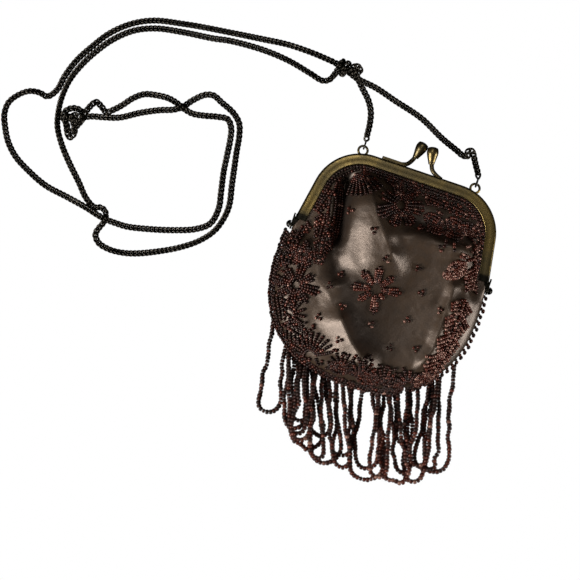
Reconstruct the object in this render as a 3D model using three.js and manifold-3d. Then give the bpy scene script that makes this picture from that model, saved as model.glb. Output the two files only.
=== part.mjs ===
// A small beaded purse lying on its back, as it was laid down: a brass kiss-lock frame, a slack satin pouch,
// a rope of beads over the seam, a fringe of bead loops and a long chain strap, folded double and knotted.
// Millimetres. X runs across the purse, Y up to the clasp and Z up from the surface that it lies on.
// The origin is on the flat of the back panel, at the middle of the pouch's rounded outline.

import * as THREE from "three";
import { ParametricGeometry } from "three/addons/geometries/ParametricGeometry.js";
import { mergeVertices } from "three/addons/utils/BufferGeometryUtils.js";
import Module from "manifold-3d";

const wasm = await Module();
wasm.setup();

const { degToRad, lerp, smoothstep } = THREE.MathUtils;

const GAP = 0.3; // left between pieces that touch
const SLIVER = 0.01; // finer splinters, left where joined pieces cross, are merged away

// Frame: two brass channels, one above the other, that share one outline.
const HINGE_Y = 14;
const HINGE_HALF_WIDTH = 51.5; // outside of a leg, on the hinge line
const FRAME_HEIGHT = 45.4; // hinge line to the outside of the top bar
const CORNER_RADIUS = 24.8;
const LEG_SPLAY = degToRad(9.7);
const BAND = 5.5; // width of the channel's face
const PLATE = 0.8; // thickness of the brass
const CHAMFER = 0.7; // on the channel's outer edge
const HALF_DEPTH = 4.6; // one channel, floor to mid-plane
const FRAME_DEPTH = 2 * HALF_DEPTH + 0.4;
const MID_Z = FRAME_DEPTH / 2;
const LEG_END_Y = HINGE_Y + 3.5; // the channels stop here, above the hinge
const TOP_Y = HINGE_Y + FRAME_HEIGHT;
const FRAME_STEPS = 31;

// Hinge: a lug from each half and a rivet through both, on an axis along X.
const LUG_RADIUS = 2.4;
const LUG_THICKNESS = 0.8;
const LUG_SIDES = 14;
const BACK_LUG_X = 50.4;
const FRONT_LUG_X = 51.5;
const TONGUE_LENGTH = 6;
const RIVET_RADIUS = 0.8;
const RIVET_HEAD_RADIUS = 1.7;
const RIVET_HEAD_HEIGHT = 1.3;
const PIN_HOLE_LENGTH = 12; // of the tool that drills both lugs of one hinge

// Clasp: a bent stem and a pear-shaped knob on each half.
const STEM_RADIUS = 1.1;
const STEM_SIDES = 8;
const STEM_STEPS = 8;
const STRIP = { from: -19.3, to: -7, thickness: 1.6, depth: 3 };
const BACK_STEM_Z = 2.4;
const BACK_STEM = [[-9, 60, 2.4], [-6.6, 60.9, 2.6], [-4.6, 63.6, 3.2], [-3.6, 66.4, 3.6]];
const FRONT_STEM = [[13.5, 59, 7.3], [9.6, 60.4, 7.2], [6.6, 62.4, 6.8], [5.5, 65.2, 6.2]];
const BACK_KNOB = { neck: [-3.7, 65.8, 3.6], top: [-2.3, 74.4, 4.4] };
const FRONT_KNOB = { neck: [5.6, 64.7, 6.2], top: [3.8, 73.3, 5.8] };
const KNOB_SIDES = 10;
const KNOB_PROFILE = [
  [0, 0], [1.15, 0], [1.5, 0.18], [2.3, 0.48], [2.75, 0.72], [2.3, 0.92], [1.2, 0.99], [0, 1],
];

// Chain loops soldered to the back half, and the jump rings in them.
const LOOP_X = 29.5;
const LOOP_Y = 60.3;
const LOOP_RADIUS = 2.3; // to the middle of the wire
const LOOP_WIRE = 0.6; // radius
const LOOP_Z = 2.6;
const RING_RADIUS = 1.8;
const RING_WIRE = 0.45;
const RING_Y = LOOP_Y + LOOP_RADIUS + 0.4;
const RING_SIDES = { wire: 5, round: 12 };

// Pouch: the seam is a rounded square, and the panels run from it up into the channels.
const CLOTH = 1.2; // thickness, satin with its backing
const SEAM_HALF_WIDTH = 50.9;
const SEAM_DEPTH = 50.1; // below the origin
const SEAM_SQUARENESS = 2.35; // 2 would be an ellipse
const SEAM_START = degToRad(175); // left end of the seam, just below the hinge
const SEAM_END = 3 * Math.PI - SEAM_START;
const SEAM_Z = 4.2;
const CLOTH_INSET = 2.4; // cloth's edge inside the channel
const CLOTH_LEVEL = 1.7; // middle of the cloth in its channel, from the channel's face
const CREST_Z = 15; // top of the front panel's cushion
const GRIP_FROM_Y = HINGE_Y - 9; // below this the edge is seam, above LEG_END_Y it is held by the frame
const CUSHION_POWER = 5; // the higher, the flatter the cushion's top and the steeper its sides

// Shares of the way from a panel's middle to its edge.
const SLOPE_TO_CHANNEL = { from: 0.62, to: 0.92 };
const FOLDS_FADE = { from: 0.8, to: 0.93 };
const BACK_TURN_UP = 0.86;
const BACK_TO_CHANNEL = { from: 0.8, to: 0.9 };
const FRONT_GRID = { around: 48, out: 10 };
const BACK_GRID = { around: 36, out: 5 };

// Folds of the front panel: a ridge or a hollow along a path of points in x and y.
// rise is its height, below zero for a hollow, and width the reach to either side.
const FOLDS = [
  { name: "left valley", path: [[-33, 46], [-29, 12], [-18, -8], [2, -36]], rise: -5.5, width: 5.5 },
  { name: "left ridge", path: [[-33, -3], [-20, -19], [-4, -35]], rise: 2.5, width: 4 },
  { name: "middle puff", path: [[-19, 40], [-9, 12]], rise: 2.5, width: 8 },
  { name: "right fold", path: [[-2, 25], [33, 28]], rise: 1.6, width: 3.5 },
  { name: "right hollow", path: [[2, 36], [33, 37]], rise: -3.5, width: 5 },
  { name: "right border", path: [[38, 10], [38, -9], [32, -40]], rise: 1.6, width: 4.5 },
  { name: "middle hollow", path: [[14, 4], [12, -27]], rise: -3.5, width: 12 },
];

// Bead rope over the seam.
const ROPE_RADIUS = 1.4;
const ROPE_OUT = CLOTH / 2 + GAP + ROPE_RADIUS; // from the seam
const ROPE_START = degToRad(171.5);
const ROPE_SIDES = 6;
const ROPE_STEPS = 32;

// Fringe: loops of strung beads that hang from one head along the seam, as they fell when the purse lay down.
// from and to are the places of a loop's two ends on the seam, as angles from +X, and lean is the angle
// by which the loop has swung towards +X, all in degrees. belly is its greatest width and drop its length.
// layer counts up from the surface, so that most of the loops that cross lie over one another.
const STRAND_RADIUS = 1.1;
const STRAND_SIDES = 5;
const LOOP_STEPS = 13;
const LOWEST_LAYER = 1.15; // height of the strands that lie on the surface
const LAYER_STEP = 2.2;
const HEAD_RADIUS = 0.9;
const HEAD_OUT = CLOTH / 2 + GAP + HEAD_RADIUS;
const HEAD_Z = 1.05;
const HEAD_SIDES = 4;
const HEAD_STEPS = 10;
const HEAD_BEYOND = degToRad(3); // the head runs past the first and the last strand
const WAIST = { aside: 0.4, down: 0.45 }; // shares of the belly and of the drop
const LIFT_SHARE = 0.8; // of the way to the waist, where a strand has reached its layer
const FRINGE = [
  { from: 213.5, to: 232, belly: 10.5, drop: 42, lean: 10.5, layer: 0 },
  { from: 235.5, to: 245.5, belly: 11, drop: 37.5, lean: 17.5, layer: 1 },
  { from: 238.5, to: 251.5, belly: 16, drop: 45.5, lean: 23, layer: 0 },
  { from: 242, to: 250, belly: 6, drop: 31, lean: 16, layer: 0 },
  { from: 246, to: 259, belly: 7, drop: 45.5, lean: 22, layer: 2 },
  { from: 252.5, to: 265.5, belly: 15, drop: 45, lean: 20.5, layer: 1 },
  { from: 253, to: 259.5, belly: 8, drop: 33.5, lean: 22, layer: 0 },
  { from: 266, to: 272, belly: 8, drop: 37.5, lean: 16.5, layer: 0 },
  { from: 270.5, to: 287.5, belly: 18, drop: 45.5, lean: 17.5, layer: 1 },
  { from: 276.5, to: 281, belly: 12, drop: 40, lean: 18, layer: 0 },
  { from: 283, to: 295, belly: 12, drop: 46.5, lean: 24.5, layer: 2 },
  { from: 289, to: 301, belly: 7.5, drop: 41, lean: 22, layer: 1 },
  { from: 293, to: 302.5, belly: 8, drop: 25.5, lean: 21, layer: 0 },
  { from: 302, to: 314.5, belly: 10, drop: 47.5, lean: 14.5, layer: 0 },
  { from: 307, to: 321, belly: 8, drop: 42, lean: 11, layer: 2 },
  { from: 315.5, to: 322, belly: 10, drop: 45, lean: 11.5, layer: 1 },
  { from: 317, to: 333.5, belly: 12, drop: 49.5, lean: 13, layer: 0 },
];

// Chain strap: a tube of its outer width, through points chosen by hand, x, y and height.
const CHAIN_RADIUS = 1.5;
const CHAIN_SIDES = 7;
const ON_FLOOR = 1.55; // height of a strand that lies on the surface
const OVER = 4.4; // height of a strand that lies over another
const LEFT_END = [
  [-29.6, 66, 2.6], [-30, 68.5, 2.2], [-30.5, 74, ON_FLOOR], [-32, 80, ON_FLOOR],
  [-35, 85, ON_FLOOR], [-40, 90, ON_FLOOR], [-47, 95, 2.6],
];
const RIGHT_END = [
  [29.4, 66, 2.6], [28.5, 68, 2.2], [26, 72, ON_FLOOR], [22, 75, ON_FLOOR], [17, 75.5, ON_FLOOR],
  [6, 79, ON_FLOOR], [-7, 85, ON_FLOOR], [-22, 89, ON_FLOOR], [-33, 92, ON_FLOOR], [-44, 93.5, 3],
];
const NEAR_KNOT = { at: [-50.5, 95, 3.4], radii: [5.6, 3.9, 3.3] };
const OUTER_STRAND = [
  [-57, 97.5, 2.6], [-69, 98.5, ON_FLOOR], [-82, 98.5, ON_FLOOR], [-95, 97, ON_FLOOR], [-111, 95, ON_FLOOR],
  [-126, 93, ON_FLOOR], [-135, 91.5, ON_FLOOR], [-149, 88.5, ON_FLOOR], [-159, 83.5, ON_FLOOR],
  [-168, 75.5, ON_FLOOR], [-174.5, 66, ON_FLOOR], [-179.5, 57, ON_FLOOR], [-182.5, 48, ON_FLOOR],
  [-184, 40, ON_FLOOR], [-187.5, 35.5, ON_FLOOR], [-192, 36, ON_FLOOR], [-197, 35, ON_FLOOR],
  [-202, 31, ON_FLOOR], [-205, 26, ON_FLOOR], [-205, 20, ON_FLOOR], [-203, 15, ON_FLOOR], [-199, 8, ON_FLOOR],
  [-193, 2, ON_FLOOR], [-184, -3, ON_FLOOR], [-174, -7, ON_FLOOR], [-162, -9, ON_FLOOR], [-151, -11, 2.6],
  [-145, -12.5, OVER], [-139, -13.5, 3], [-130, -13.5, ON_FLOOR], [-118, -11, ON_FLOOR],
  [-106, -7.5, ON_FLOOR], [-96, -3.5, ON_FLOOR], [-90, 1.5, ON_FLOOR], [-88.5, 10, ON_FLOOR],
  [-90, 18, ON_FLOOR], [-92, 28, ON_FLOOR], [-93, 36, ON_FLOOR], [-94, 44, ON_FLOOR], [-95.5, 50, ON_FLOOR],
  [-98.5, 53.5, ON_FLOOR], [-104, 53, ON_FLOOR], [-110, 51.5, ON_FLOOR], [-116, 50.5, 2.6],
  [-120.5, 51.3, OVER], [-125, 53, 3], [-130, 54, ON_FLOOR], [-136, 53.5, ON_FLOOR], [-142, 52, ON_FLOOR],
  [-147, 48, ON_FLOOR], [-150.5, 43.5, ON_FLOOR], [-154, 40, ON_FLOOR], [-158, 39.5, ON_FLOOR],
  [-161, 41, ON_FLOOR], [-164, 40.5, ON_FLOOR], [-166, 37, 2.2], [-167.5, 33, 3],
];
const INNER_STRAND = [
  [-55.3, 91.2, 2.4], [-57, 88.3, ON_FLOOR], [-60, 87, ON_FLOOR], [-67, 88.5, ON_FLOOR],
  [-79, 91, ON_FLOOR], [-93, 92, ON_FLOOR], [-110, 91, ON_FLOOR], [-118, 89.5, ON_FLOOR],
  [-134, 87.5, ON_FLOOR],
  [-147, 85, ON_FLOOR], [-157, 80.5, ON_FLOOR], [-165.5, 73, ON_FLOOR], [-172, 64, ON_FLOOR],
  [-176.5, 55.5, ON_FLOOR], [-179.5, 47, ON_FLOOR], [-180.5, 38, ON_FLOOR], [-180, 31, ON_FLOOR],
  [-178, 23, ON_FLOOR], [-173, 15, ON_FLOOR], [-166, 7, ON_FLOOR], [-159, 0, ON_FLOOR], [-153, -7, ON_FLOOR],
  [-147, -12, ON_FLOOR], [-142.5, -16.5, ON_FLOOR], [-142.5, -21.5, ON_FLOOR], [-140, -25, ON_FLOOR],
  [-134, -27, ON_FLOOR], [-127, -26.5, ON_FLOOR], [-120, -24.5, ON_FLOOR], [-111, -20.5, ON_FLOOR],
  [-101, -15, ON_FLOOR], [-92.5, -8.5, ON_FLOOR], [-87, -1.5, ON_FLOOR], [-84.5, 6, ON_FLOOR],
  [-84, 13, ON_FLOOR], [-86, 23, ON_FLOOR], [-87.5, 31, ON_FLOOR], [-89, 39, ON_FLOOR], [-90.5, 48, ON_FLOOR],
  [-92.5, 53.5, ON_FLOOR], [-97, 57.5, ON_FLOOR], [-104, 60.5, ON_FLOOR], [-109, 62.5, ON_FLOOR],
  [-113, 61.5, ON_FLOOR], [-118, 57, ON_FLOOR], [-121.5, 52.5, ON_FLOOR], [-125.5, 49.5, ON_FLOOR],
  [-132, 47, ON_FLOOR], [-141, 42.5, ON_FLOOR], [-150, 37, ON_FLOOR], [-158, 34.5, ON_FLOOR],
  [-163.5, 33, 2.2], [-167, 31, 3],
];
const END_KNOT = [
  { at: [-169.5, 29.5, 3.7], radii: [5.2, 4.6, 3.6] },
  { at: [-173, 24, 3.4], radii: [4.2, 5.2, 3.3] },
];
const NEAR_TANGLE = { at: [22.5, 75.6, 2.4], radii: [2.8, 2.6, 2.3] };
const FAR_TANGLES = [
  { at: [-142, -10.5, 3.4], radii: [2.6, 2.9, 2.4] },
  { at: [-87.5, 5, 3], radii: [2.2, 5, 2.6] },
];
const LUMP_SIDES = { round: 8, high: 6 };
const NEAR_STEPS = { left: 6, right: 12 };
const FAR_STEPS = 40;

const brass = new THREE.MeshStandardMaterial({ color: 0x6e5c32, metalness: 1, roughness: 0.42 });
const darkBronze = new THREE.MeshStandardMaterial({ color: 0x2b2620, metalness: 1, roughness: 0.45 });
const satin = new THREE.MeshStandardMaterial({ color: 0x6e5f58, metalness: 0, roughness: 0.38 });
const beads = new THREE.MeshStandardMaterial({ color: 0x46190f, metalness: 0, roughness: 0.2 });

// Helpers: closed meshes, joins and swept sections.

function closed(geometry) {
  const bare = geometry.clone();
  for (const name of Object.keys(bare.attributes)) {
    if (name !== "position") bare.deleteAttribute(name);
  }
  const merged = mergeVertices(bare, 1e-4);
  const corners = merged.index.array;
  const kept = [];
  for (let i = 0; i < corners.length; i += 3) {
    const [a, b, c] = [corners[i], corners[i + 1], corners[i + 2]];
    if (a !== b && b !== c && c !== a) kept.push(a, b, c);
  }
  merged.setIndex(kept);
  return merged;
}

function solid(geometry) {
  const merged = closed(geometry);
  const vertProperties = new Float32Array(merged.attributes.position.array);
  const triVerts = new Uint32Array(merged.index.array);
  return new wasm.Manifold(new wasm.Mesh({ numProp: 3, vertProperties, triVerts }));
}

function geometryOf(manifold) {
  const { vertProperties, triVerts } = manifold.getMesh();
  const geometry = new THREE.BufferGeometry();
  geometry.setAttribute("position", new THREE.BufferAttribute(vertProperties, 3));
  geometry.setIndex(new THREE.BufferAttribute(triVerts, 1));
  return geometry;
}

function fuse(geometries) {
  const [first, ...rest] = geometries.map(solid);
  return geometryOf(rest.reduce((whole, piece) => whole.add(piece), first).simplify(SLIVER));
}

function cut(geometry, tools) {
  return geometryOf(tools.map(solid).reduce((left, tool) => left.subtract(tool), solid(geometry)));
}

function roundSection(radius, sides) {
  const corners = [];
  for (let k = 0; k < sides; k += 1) {
    const angle = (2 * Math.PI * (k + 0.5)) / sides;
    corners.push(new THREE.Vector2(radius * Math.cos(angle), radius * Math.sin(angle)));
  }
  return new THREE.Shape(corners);
}

function sweep(section, extrudePath, steps) {
  return new THREE.ExtrudeGeometry(section, { steps, extrudePath, bevelEnabled: false });
}

function tubeThrough(points, radius, sides, steps) {
  const curve = new THREE.CatmullRomCurve3(points.map((p) => new THREE.Vector3(...p)));
  return sweep(roundSection(radius, sides), curve, steps);
}

function box(from, to) {
  const size = to.map((high, axis) => high - from[axis]);
  const middle = to.map((high, axis) => (high + from[axis]) / 2);
  return new THREE.BoxGeometry(...size).translate(...middle);
}

function lump({ at, radii }) {
  const ball = new THREE.SphereGeometry(1, LUMP_SIDES.round, LUMP_SIDES.high);
  return ball.scale(...radii).translate(...at);
}

function discAlongX(x, radius, thickness) {
  const disc = new THREE.CylinderGeometry(radius, radius, thickness, LUG_SIDES).rotateZ(Math.PI / 2);
  return disc.translate(x, HINGE_Y, MID_Z);
}

// Outlines.

// The frame's outline, moved inwards by inset, from the left leg's end over the top to the right leg's end.
function frameOutline(inset) {
  const centreY = TOP_Y - CORNER_RADIUS;
  const lean = Math.tan(LEG_SPLAY);
  const centreX = HINGE_HALF_WIDTH - CORNER_RADIUS / Math.cos(LEG_SPLAY) - lean * (centreY - HINGE_Y);
  const endX = HINGE_HALF_WIDTH - inset / Math.cos(LEG_SPLAY) - lean * (LEG_END_Y - HINGE_Y);
  const radius = CORNER_RADIUS - inset;
  const outline = new THREE.Path();
  outline.moveTo(-endX, LEG_END_Y);
  outline.lineTo(-centreX - radius * Math.cos(LEG_SPLAY), centreY + radius * Math.sin(LEG_SPLAY));
  outline.absarc(-centreX, centreY, radius, Math.PI - LEG_SPLAY, Math.PI / 2, true);
  outline.absarc(centreX, centreY, radius, Math.PI / 2, LEG_SPLAY, true);
  outline.lineTo(endX, LEG_END_Y);
  return outline;
}

// A point of the seam, moved outwards, at an angle from +X.
function seamPoint(angle, outwards = 0) {
  const rounded = (value) => Math.sign(value) * Math.abs(value) ** (2 / SEAM_SQUARENESS);
  const x = (SEAM_HALF_WIDTH + outwards) * rounded(Math.cos(angle));
  const y = (SEAM_DEPTH + outwards) * rounded(Math.sin(angle));
  return new THREE.Vector2(x, y);
}

// The whole edge of a panel: round the frame inside its channel, then back along the seam.
function panelOutline() {
  const outline = frameOutline(CLOTH_INSET);
  const seam = [];
  const pieces = 40;
  for (let k = 0; k <= pieces; k += 1) {
    seam.push(seamPoint(lerp(SEAM_END, SEAM_START, k / pieces)));
  }
  outline.splineThru(seam);
  outline.closePath();
  return outline;
}

// A flat outline carried at one height, for a section to be swept along.
class LevelCurve extends THREE.Curve {
  constructor(outline, z) {
    super();
    this.outline = outline;
    this.z = z;
  }

  getPoint(t, target = new THREE.Vector3()) {
    const { x, y } = this.outline.getPoint(t);
    return target.set(x, y, this.z);
  }
}

// A stretch of the seam's line as a curve, moved outwards, at one height.
class SeamCurve extends THREE.Curve {
  constructor(start, end, outwards, z) {
    super();
    Object.assign(this, { start, end, outwards, z });
  }

  getPoint(t, target = new THREE.Vector3()) {
    const { x, y } = seamPoint(lerp(this.start, this.end, t), this.outwards);
    return target.set(x, y, this.z);
  }
}

// Frame.

// Section of one channel, open towards the pouch: pairs of inset and height above the channel's face.
function channelSection(height) {
  const pairs = [
    [0, CHAMFER], [CHAMFER, 0], [BAND, 0], [BAND, PLATE], [PLATE, PLATE], [PLATE, HALF_DEPTH - PLATE],
    [BAND, HALF_DEPTH - PLATE], [BAND, HALF_DEPTH], [0, HALF_DEPTH],
  ];
  return new THREE.Shape(pairs.map(([inset, rise]) => new THREE.Vector2(-height(rise), -inset)));
}

function channel(height) {
  return sweep(channelSection(height), new LevelCurve(frameOutline(0), 0), FRAME_STEPS);
}

const aboveFloor = (rise) => rise;
const belowTop = (rise) => FRAME_DEPTH - rise;

// The lug of one half at one hinge, with the tongue that carries it down from the channel.
function backLug(side) {
  const [near, far] = [BACK_LUG_X - LUG_THICKNESS / 2, BACK_LUG_X + LUG_THICKNESS / 2];
  const [low, high] = [MID_Z - LUG_RADIUS, MID_Z - GAP];
  const tongue = box([near, HINGE_Y, low], [far, HINGE_Y + TONGUE_LENGTH, high]);
  return [discAlongX(BACK_LUG_X, LUG_RADIUS, LUG_THICKNESS), tongue].map((piece) => mirrored(piece, side));
}

function frontLug(side) {
  const [near, far] = [FRONT_LUG_X - LUG_THICKNESS / 2, FRONT_LUG_X + LUG_THICKNESS / 2];
  const [low, high] = [MID_Z + GAP, MID_Z + LUG_RADIUS];
  const tongue = box([near, HINGE_Y, low], [far, HINGE_Y + TONGUE_LENGTH, high]);
  const clearOfBackLug = HINGE_Y + LUG_RADIUS + GAP;
  const overBackLug = BACK_LUG_X - LUG_THICKNESS / 2;
  const bridge = box([overBackLug, clearOfBackLug, low], [far, HINGE_Y + TONGUE_LENGTH, high]);
  const disc = discAlongX(FRONT_LUG_X, LUG_RADIUS, LUG_THICKNESS);
  return [disc, tongue, bridge].map((piece) => mirrored(piece, side));
}

function mirrored(geometry, side) {
  if (side > 0) return geometry;
  const copy = closed(geometry).scale(-1, 1, 1);
  const corners = copy.index.array;
  for (let i = 0; i < corners.length; i += 3) {
    [corners[i], corners[i + 1]] = [corners[i + 1], corners[i]];
  }
  return copy;
}

function pinHoles() {
  return [-1, 1].map((side) => discAlongX(side * FRONT_LUG_X, RIVET_RADIUS + GAP, PIN_HOLE_LENGTH));
}

// A pear-shaped knob turned about the line from its neck to its top.
function knob({ neck, top }) {
  const from = new THREE.Vector3(...neck);
  const axis = new THREE.Vector3(...top).sub(from);
  const height = axis.length();
  const profile = KNOB_PROFILE.map(([radius, share]) => new THREE.Vector2(radius, share * height));
  const turn = new THREE.Quaternion().setFromUnitVectors(new THREE.Vector3(0, 1, 0), axis.normalize());
  return new THREE.LatheGeometry(profile, KNOB_SIDES).applyQuaternion(turn).translate(from.x, from.y, from.z);
}

function ring(radius, wire) {
  return new THREE.TorusGeometry(radius, wire, RING_SIDES.wire, RING_SIDES.round);
}

function frameBack() {
  const half = STRIP.depth / 2;
  const strip = box(
    [STRIP.from, TOP_Y - PLATE / 2, BACK_STEM_Z - half],
    [STRIP.to, TOP_Y + STRIP.thickness, BACK_STEM_Z + half],
  );
  const loops = [-1, 1].map((side) => ring(LOOP_RADIUS, LOOP_WIRE).translate(side * LOOP_X, LOOP_Y, LOOP_Z));
  const stem = tubeThrough(BACK_STEM, STEM_RADIUS, STEM_SIDES, STEM_STEPS);
  const lugs = [-1, 1].flatMap(backLug);
  return cut(fuse([channel(aboveFloor), strip, stem, knob(BACK_KNOB), ...loops, ...lugs]), pinHoles());
}

function frameFront() {
  const stem = tubeThrough(FRONT_STEM, STEM_RADIUS, STEM_SIDES, STEM_STEPS);
  const lugs = [-1, 1].flatMap(frontLug);
  return cut(fuse([channel(belowTop), stem, knob(FRONT_KNOB), ...lugs]), pinHoles());
}

function hingeRivet(side) {
  const inner = BACK_LUG_X - LUG_THICKNESS / 2;
  const seat = FRONT_LUG_X + LUG_THICKNESS / 2 + GAP;
  const shoulder = seat + RIVET_HEAD_HEIGHT * 0.4;
  const profile = [
    [0, inner], [RIVET_RADIUS, inner], [RIVET_RADIUS, seat], [RIVET_HEAD_RADIUS, seat],
    [RIVET_HEAD_RADIUS, shoulder], [RIVET_HEAD_RADIUS * 0.7, seat + RIVET_HEAD_HEIGHT * 0.85],
    [0, seat + RIVET_HEAD_HEIGHT],
  ];
  const pin = new THREE.LatheGeometry(profile.map((p) => new THREE.Vector2(...p)), KNOB_SIDES);
  return pin.rotateZ((-side * Math.PI) / 2).translate(0, HINGE_Y, MID_Z);
}

function jumpRing(side) {
  return ring(RING_RADIUS, RING_WIRE).rotateY(Math.PI / 2).translate(side * LOOP_X, RING_Y, LOOP_Z);
}

// Pouch.

// 1 where the panel's edge is gripped by the frame, 0 along the seam.
const grip = (edgeY) => smoothstep(edgeY, GRIP_FROM_Y, LEG_END_Y - 1);

// Distance from a point to a path of straight pieces.
function distanceTo(path, x, y) {
  const here = new THREE.Vector3(x, y, 0);
  const nearest = new THREE.Vector3();
  const corners = path.map((corner) => new THREE.Vector3(...corner, 0));
  const distances = corners.slice(1).map((corner, k) => {
    new THREE.Line3(corners[k], corner).closestPointToPoint(here, true, nearest);
    return nearest.distanceTo(here);
  });
  return Math.min(...distances);
}

function foldHeight(x, y) {
  const bump = ({ path, rise, width }) => rise * Math.exp(-((distanceTo(path, x, y) / width) ** 2));
  return FOLDS.reduce((height, fold) => height + bump(fold), 0);
}

// Height of the front panel's middle, out is 0 at the centre and 1 at its edge.
function frontHeight(x, y, out, edgeY) {
  const held = grip(edgeY);
  const edge = lerp(SEAM_Z + GAP / 2, FRAME_DEPTH - CLOTH_LEVEL, held);
  const cushion = Math.sqrt(1 - out ** CUSHION_POWER);
  const fromChannel = 1 - smoothstep(out, SLOPE_TO_CHANNEL.from, SLOPE_TO_CHANNEL.to);
  const calm = 1 - smoothstep(out, FOLDS_FADE.from, FOLDS_FADE.to);
  return edge + (CREST_Z - edge) * lerp(cushion, fromChannel, held) + calm * foldHeight(x, y);
}

// Height of the back panel's middle: flat on the surface, turned up to the seam or into the channel.
function backHeight(x, y, out, edgeY) {
  const held = grip(edgeY);
  const flat = CLOTH / 2;
  const edge = lerp(SEAM_Z - GAP / 2, CLOTH_LEVEL, held);
  const past = Math.max(0, (out - BACK_TURN_UP) / (1 - BACK_TURN_UP));
  const turned = 1 - Math.sqrt(1 - past ** 2);
  const toChannel = smoothstep(out, BACK_TO_CHANNEL.from, BACK_TO_CHANNEL.to);
  return flat + (edge - flat) * lerp(turned, toChannel, held);
}

// A panel as a closed sheet: from the middle over its upper face to the edge, and back along its lower face.
function panel(height, { around, out: rows }) {
  const outline = panelOutline();
  const spot = (u, out) => {
    const edge = outline.getPoint(u);
    const [x, y] = [edge.x * out, edge.y * out];
    return new THREE.Vector3(x, y, height(x, y, out, edge.y));
  };
  const [sideStep, outStep] = [0.002, 0.005]; // small steps that give the surface's slope
  const normal = (u, out) => {
    const inner = THREE.MathUtils.clamp(out, 0.03, 1 - outStep);
    const along = spot((u + sideStep) % 1, inner).sub(spot((u + 1 - sideStep) % 1, inner));
    const outwards = spot(u, inner + outStep).sub(spot(u, inner - outStep));
    return along.cross(outwards).normalize();
  };
  const sheet = (u, v, target) => {
    const share = 1 - Math.abs(2 * v - 1);
    const out = Math.sin((share * Math.PI) / 2);
    const side = v <= 0.5 ? 1 : -1;
    const upwards = out === 0 ? new THREE.Vector3(0, 0, 1) : normal(u % 1, out);
    target.copy(spot(u % 1, out)).addScaledVector(upwards, (side * CLOTH) / 2);
  };
  return closed(new ParametricGeometry(sheet, around, 2 * rows + 1));
}

// Beads.

function beadEdge() {
  const line = new SeamCurve(ROPE_START, 3 * Math.PI - ROPE_START, ROPE_OUT, SEAM_Z);
  return sweep(roundSection(ROPE_RADIUS, ROPE_SIDES), line, ROPE_STEPS);
}

// Both sides of a loop run from the head over a waist to the belly, and its bottom is half a circle.
function fringeLoop({ from, to, belly, drop, lean, layer }) {
  const headPoint = (angle) => [...seamPoint(degToRad(angle), HEAD_OUT), HEAD_Z];
  const middle = seamPoint(degToRad((from + to) / 2), HEAD_OUT);
  const tilt = degToRad(lean);
  const height = LOWEST_LAYER + layer * LAYER_STEP;
  const place = (aside, down) => [
    middle.x + aside * Math.cos(tilt) + down * Math.sin(tilt),
    middle.y + aside * Math.sin(tilt) - down * Math.cos(tilt),
    height,
  ];
  const bend = belly / 2;
  const onBend = (side, turn) => place(side * bend * Math.cos(turn), drop - bend + bend * Math.sin(turn));
  const half = (end, side) => {
    const top = headPoint(end);
    const waist = place(side * WAIST.aside * belly, WAIST.down * drop);
    const lifted = [lerp(top[0], waist[0], LIFT_SHARE), lerp(top[1], waist[1], LIFT_SHARE), height];
    return [top, lifted, waist, onBend(side, 0), onBend(side, Math.PI / 4)];
  };
  const points = [...half(from, -1), place(0, drop), ...half(to, 1).reverse()];
  return tubeThrough(points, STRAND_RADIUS, STRAND_SIDES, LOOP_STEPS);
}

function fringe() {
  const start = degToRad(FRINGE[0].from) - HEAD_BEYOND;
  const end = degToRad(FRINGE.at(-1).to) + HEAD_BEYOND;
  const line = new SeamCurve(start, end, HEAD_OUT, HEAD_Z);
  const head = sweep(roundSection(HEAD_RADIUS, HEAD_SIDES), line, HEAD_STEPS);
  return fuse([head, ...FRINGE.map(fringeLoop)]);
}

// Chain.

function chainNear() {
  const left = tubeThrough(LEFT_END, CHAIN_RADIUS, CHAIN_SIDES, NEAR_STEPS.left);
  const right = tubeThrough(RIGHT_END, CHAIN_RADIUS, CHAIN_SIDES, NEAR_STEPS.right);
  return fuse([left, right, lump(NEAR_KNOT), lump(NEAR_TANGLE)]);
}

function chainFar() {
  const strands = [OUTER_STRAND, INNER_STRAND].map((points) =>
    tubeThrough(points, CHAIN_RADIUS, CHAIN_SIDES, FAR_STEPS),
  );
  return fuse([...strands, ...END_KNOT.map(lump), ...FAR_TANGLES.map(lump)]);
}

// Assembly.

const purse = new THREE.Group();

function add(name, geometry, material) {
  const mesh = new THREE.Mesh(geometry, material);
  mesh.name = name;
  purse.add(mesh);
}

add("frame_back", frameBack(), brass);
add("frame_front", frameFront(), brass);
add("hinge_rivet_left", hingeRivet(-1), darkBronze);
add("hinge_rivet_right", hingeRivet(1), darkBronze);
add("jump_ring_left", jumpRing(-1), darkBronze);
add("jump_ring_right", jumpRing(1), darkBronze);
add("pouch_front", panel(frontHeight, FRONT_GRID), satin);
add("pouch_back", panel(backHeight, BACK_GRID), satin);
add("bead_edge", beadEdge(), beads);
add("fringe", fringe(), beads);
add("chain_near", chainNear(), darkBronze);
add("chain_far", chainFar(), darkBronze);

export default purse;
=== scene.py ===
# %% [markdown]
# # A beaded purse, laid on its back
# A slack satin pouch hangs in a brass frame that snaps shut. A rope of seed beads covers its seam,
# bead loops hang below it, and a long chain strap lies beside it, folded double and knotted.
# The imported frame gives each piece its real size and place, so the lesson is about fine shape and finish.
# Lengths are in millimetres, because the pieces are small, and MM turns them into Blender's metres.

# %% Load the frame
import math

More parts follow.
